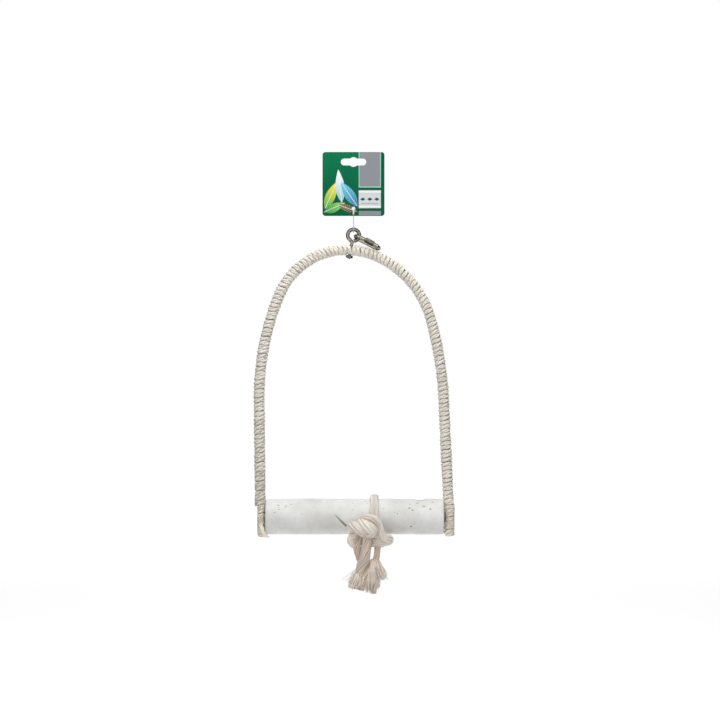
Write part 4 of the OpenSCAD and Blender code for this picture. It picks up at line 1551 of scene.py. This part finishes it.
@dataclass(frozen=True)
class Fray:
    """Yarns that open out from a rope's end, with sizes in millimetres.

    They leave the rope at the top, within the neck's radius, and end round the foot,
    within the spread's radius, at heights that differ by up to the ragged length.
    """

    top: Place
    foot: Place
    neck: float
    spread: float
    ragged: float
    count: int
    seed: int
    thin: float = 0.28
    thick: float = 0.62
    taper: float = 0.45
    swing: Place = (1.1, 1.1, 0.44)
    crinkle: float = 0.35
    crinkle_step: float = 0.2
    inner_shade: float = 0.7

    def add(self, strands: Strands, origin: Array) -> None:
        """Adds the yarns, measured from an origin in metres."""
        draw = np.random.default_rng(self.seed)
        t = np.linspace(0, 1, 12)
        a, b = np.array(self.top, float), np.array(self.foot, float)
        dome = np.sqrt(smooth_step(0.15 + t * 9))
        opening = self.neck * dome + (self.spread - self.neck) * smooth_step(t * 1.15)
        for _ in range(self.count):
            angle, share = draw.uniform(0, TAU), math.sqrt(draw.uniform(0.1, 1))
            short = draw.beta(1.2, 4) * 0.5 + 0.8 * share ** 4 * draw.uniform(0.4, 1)
            reach = 1 - short * self.ragged / float(a[2] - b[2])
            out = np.array([math.cos(angle), math.sin(angle), 0])
            line = a + (b - a) * (t * reach)[:, None] + out * (share * opening)[:, None]
            line = line + draw.normal(0, 1, 3) * self.swing * (t ** 2)[:, None]
            line = line + self.crinkle * np.stack(
                [wobble(t, self.crinkle_step, int(draw.integers(1, 9999)))
                 for _ in range(3)], -1)
            size = draw.uniform(self.thin, self.thick) * (1 - self.taper * t ** 3)
            # Yarns nearer the tassel's middle are painted darker, as shade inside the
            # bundle.
            strands.add(Strand(line * MM + origin, size * MM, 0.5 + draw.uniform(-0.5, 0.5),
                               (1 - share) * self.inner_shade))


@dataclass(frozen=True)
class Wisps:
    """Fine loose fibres that stand away from a tassel, with sizes in millimetres."""

    top: Place
    foot: Place
    count: int
    seed: int
    top_scatter: float = 1.6
    foot_scatter: float = 2.6
    bow: float = 2.2
    thin: float = 0.1
    thick: float = 0.22
    taper: float = 0.6
    tone: float = 0.8

    def add(self, strands: Strands, origin: Array) -> None:
        """Adds the fibres, measured from an origin in metres."""
        draw = np.random.default_rng(self.seed)
        t = np.linspace(0, 1, 9)[:, None]
        a, b = np.array(self.top, float), np.array(self.foot, float)
        for _ in range(self.count):
            start = a + draw.normal(0, self.top_scatter, 3)
            end = b + draw.normal(0, self.foot_scatter, 3)
            bow = draw.normal(0, self.bow, 3)
            line = start + (end - start) * t + bow * (t * (1 - t)) * 2
            size = draw.uniform(self.thin, self.thick) * (1 - self.taper * t[:, 0])
            strands.add(Strand(line * MM + origin, size * MM, self.tone))


@dataclass
class TiedRope:
    """The cotton rope: its loop on the perch, the knot, three tails and two tassels.

    The routes are x, y, z and radius in millimetres, from the perch's axis.
    """

    sides: int = 8
    fibre_sides: int = 5
    strand_r: float = 4.2
    loop_r: float = 20.4
    loop_flat: float = 0.35
    knot: tuple[Route, ...] = (
        ((-14, -22, -5, 3.4), (-10, -27.5, -0.5, 4), (-4.5, -30.5, 0.6, 4.2),
         (0.8, -30, -1.6, 4.2), (4.6, -27.5, -7, 4), (6.2, -25.5, -12.5, 4),
         (8, -22.8, -17.4, 4), (11.6, -19, -20.2, 4.1), (15, -14, -21, 4.2),
         (14.6, -10.6, -23.4, 4.2), (10.4, -11.8, -24.4, 4.8), (4.5, -15.2, -24.8, 5),
         (-3, -18.5, -24, 4.6)),
        ((-19.5, -18, -13, 4.4), (-21.6, -21, -9, 4.9), (-20.6, -26.5, -7.6, 5.3),
         (-17, -30.8, -9.4, 5.4), (-13, -31, -12, 4.9), (-10.4, -28.4, -14.4, 4.3),
         (-9.4, -24.4, -16.4, 4)),
        ((-15, -23, -5.4, 4.2), (-12.4, -29, -4.4, 5), (-7.8, -33.4, -6.8, 5.8),
         (-3, -33, -10, 5.8), (-2.6, -30.4, -13.6, 4.9), (-4.6, -27.4, -16, 4.3),
         (-7.4, -24, -17, 4)),
        ((-2, -21, -11, 4.6), (1.6, -19, -15, 5), (4.6, -17, -19, 5), (7, -15.4, -22, 4.4)),
        ((-12, -20, -14, 4), (-18, -21.5, -15.4, 4), (-22.8, -20, -19, 3.8),
         (-23, -18.6, -24, 3.8), (-18.4, -18.4, -27, 4.1), (-13, -19.4, -25, 4.1)))
    front: Route = (
        (-8, -25, -13.5, 4), (-7.2, -26, -22, 4.7), (-8.3, -25.4, -31, 5.1),
        (-9.7, -24.2, -39, 5.3), (-12.4, -22, -46.5, 5.2), (-15, -19.6, -55, 4.5),
        (-16.6, -18.8, -62, 4), (-17.6, -18.8, -70.4, 2.6))
    back: Route = (
        (-13.6, -22.5, -14, 4.2), (-15.8, -20.4, -22, 4.9), (-16.4, -18.4, -30, 4.7),
        (-14.4, -16.6, -38, 4.5), (-10.6, -17, -46, 4.5), (-9.2, -18.6, -54, 4.3),
        (-11.4, -19.8, -62, 3.9), (-13.6, -20, -71.4, 3.5))
    right: Route = (
        (3.6, -16.4, -25, 3.4), (2.7, -16, -35, 3.2), (1.7, -16, -42, 3.3),
        (0.8, -16, -50, 3.4), (0, -16, -62, 3.4), (-0.8, -16, -75, 3))
    tassels: tuple[tuple[str, tuple[Fray | Wisps, ...]], ...] = (
        ("left", (Fray((-14.6, -19, -53), (-18.6, -19.5, -70), 4.6, 8.2, 5.0, 220, 7),
                  Wisps((-17, -19, -52), (-30, -20, -61), 24, 8))),
        ("right", (Fray((-0.3, -16, -41), (-3.0, -16.5, -75), 5.2, 7.8, 14, 160, 9),
                   Fray((0.4, -16, -41.5), (6.4, -16.5, -62), 5.0, 7.4, 9, 120, 12),
                   Wisps((4, -16, -44), (12, -17, -57), 30, 10))))

    def origin(self) -> Array:
        """The point on the perch's axis from which the routes are measured."""
        low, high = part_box("rope_loop")
        return np.array([(low.x + high.x) / 2, 0.0, (low.z + high.z) / 2])

    def route(self, points: Sequence[Sequence[float]], step: float = 0.8) -> Array:
        """A smooth route in the swing's frame, in metres."""
        line = through(points, step)
        line[:, :3] += self.origin()
        return line

    def build(self) -> None:
        """Builds the loop, the knot, the tails and the tassels."""
        strands = Strands(self.sides)
        turn = np.linspace(0, TAU, 150)
        ring = np.stack([0 * turn, self.loop_r * np.cos(turn), self.loop_r * np.sin(turn),
                         np.full_like(turn, self.strand_r)], -1) * MM
        ring[:, :3] += self.origin()
        bundle(strands, ring, 10, 5, 3, 0.62, self.loop_flat, np.array([1.0, 0.0, 0.0]))
        settle(strands.build("rope_loop_yarns"), Finish.LOOP, "rope",
               "rope_loop")
        strands = Strands(self.sides)
        for i, points in enumerate(self.knot):
            bundle(strands, self.route(points), 8, 12 + 4 * i, 80 + i, 0.55)
        settle(strands.build("rope_knot_yarns"), Finish.KNOT, "rope",
               "rope_knot")
        tassels = self.build_tassels()
        for name, points, seed, ends in (("front", self.front, 91, [tassels["left"]]),
                                         ("back", self.back, 92, []),
                                         ("right", self.right, 93, [tassels["right"]])):
            route = self.route(points)
            strands = Strands(self.sides)
            bundle(strands, route, 9, 18, seed, 0.5)
            tail = settle(strands.build(f"rope_{name}_yarns"), Finish.TAIL, "rope",
                          f"rope_tail_{name}")

    def build_tassels(self) -> dict[str, bpy.types.Object]:
        """Builds the frayed ends of the tails, by their sides."""
        made = {}
        for side, parts in self.tassels:
            strands = Strands(self.fibre_sides)
            for part in parts:
                part.add(strands, self.origin())
            made[side] = settle(strands.build(f"tassel_{side}_fibres"), Finish.FRAY, "rope",
                                f"tassel_{side}")
        return made


def dress_nodes() -> None:
    """Gives the CAD nodes that stay in view their finishes."""
    finishes = {"arch_rod": Finish.ROD, "perch_core": Finish.WOOD}
    for side in ("left", "right"):
        finishes |= {f"perch_washer_{side}": Finish.SLEEVE,
                     f"perch_screw_{side}": Finish.BRIGHT}
    for node, finish in finishes.items():
        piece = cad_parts[node]
        if not piece.material_slots:
            piece.data.materials.append(finish.material())
        for held in piece.material_slots:
            held.material = finish.material()


@dataclass
class Studio:
    """The camera, the lights, the floor and the white surroundings."""

    middle: tuple[float, float] = (0.0065, -0.198)
    distance: float = 2.0
    lens: float = 100.0
    floor_z: float = -0.62
    world_level: float = 0.5
    sensor: float = 36.0
    floor_half: float = 6.0
    flag_half: float = 1.3
    lamps: tuple[tuple[str, Place, float, float], ...] = (
        ("key", (-0.12, -1.2, 0.8), 0.8, 11.1), ("top", (0.04, -0.08, 0.45), 0.6, 2.9),
        ("low", (0.0, 0.16, -0.5), 0.3, 0.5))
    flags: tuple[tuple[str, Place, bool], ...] = (
        ("flag_left", (-1.25, 0.6, 0), True), ("flag_right", (1.25, 0.6, 0), True),
        ("flag_top", (0, 0.6, 1.3), False), ("flag_low", (0, 0.6, -0.6), False))

    def build(self) -> None:
        """Sets the stage."""
        scene = bpy.context.scene
        scene.view_settings.view_transform = "Standard"
        held = bpy.data.cameras.new("camera")
        held.lens, held.sensor_width = self.lens, self.sensor
        camera = bpy.data.objects.new("camera", held)
        camera.location = (self.middle[0], -self.distance, self.middle[1])
        camera.rotation_euler = (math.pi / 2, 0, 0)
        scene.collection.objects.link(camera)
        scene.camera = camera
        for lamp in self.lamps:
            self.light(*lamp)
        for flag in self.flags:
            self.flag(*flag)
        place = Matrix.Translation((0, 0, self.floor_z))
        self.screen("floor", self.floor_half, place, Finish.FLOOR)
        self.surroundings(scene)

    def screen(self, name: str, half: float, place: Matrix, finish: Finish
               ) -> bpy.types.Object:
        """Makes a flat square in one of the stage's finishes."""
        work = bmesh.new()
        bmesh.ops.create_grid(work, x_segments=1, y_segments=1, size=half, matrix=place)
        made = from_bmesh(name, work)
        made.data.materials.append(finish.material())
        return made

    def flag(self, name: str, place: Place, upright: bool) -> None:
        """Adds a dark screen outside the view.

        Args:
            name: The screen's name.
            place: Where its middle is.
            upright: Whether it stands beside the swing, where it takes light away as
                well as showing in the metal.
        """
        turn = Matrix.Rotation(math.pi / 2 if upright else 0, 4, "Y")
        flag = self.screen(name, self.flag_half, Matrix.Translation(place) @ turn,
                           Finish.FLAG)
        flag.visible_camera = flag.visible_transmission = flag.visible_shadow = False
        flag.visible_diffuse = upright

    def light(self, name: str, place: Place, size: float, power: float) -> None:
        """Adds a square lamp that faces the swing."""
        held = bpy.data.lights.new(name, "AREA")
        held.size, held.energy = size, power
        lamp = bpy.data.objects.new(name, held)
        lamp.visible_glossy = lamp.visible_camera = False
        lamp.location = place
        aim = Vector((self.middle[0], 0, self.middle[1])) - Vector(place)
        lamp.rotation_euler = aim.to_track_quat("-Z", "Y").to_euler()
        bpy.context.scene.collection.objects.link(lamp)

    def surroundings(self, scene: bpy.types.Scene) -> None:
        """Makes the world pale for light and white to the eye and in mirrors."""
        world = bpy.data.worlds.new("surroundings")
        scene.world = world
        world.use_nodes = True
        nodes = Nodes(world.node_tree)
        pale, white = (nodes.node("ShaderNodeBackground", {0: (1, 1, 1, 1), 1: level})
                       for level in (self.world_level, 1.0))
        mixer = nodes.node("ShaderNodeMixShader", {
            0: nodes.looked_at(), 1: pale.outputs[0], 2: white.outputs[0]})
        nodes.node("ShaderNodeOutputWorld", {0: mixer.outputs[0]})


def main() -> None:
    """Builds the stage and every piece."""
    logging.basicConfig(level=logging.INFO, format="%(message)s")
    Studio().build()
    TiedRope().build()
    cord = Cord()
    ArchWinding(ArchLine(), cord).build()
    FootBinding("left", cord, 0.8, 3.1).build()
    FootBinding("right", cord, 0.2, 4.4, top=15.0, bottom=-17.4).build()
    Perch().build()
    EyeBolt().build()
    QuickLink().build()
    HeaderCard().build()
    TagLoop().build()
    dress_nodes()


if __name__ == "__main__":
    main()
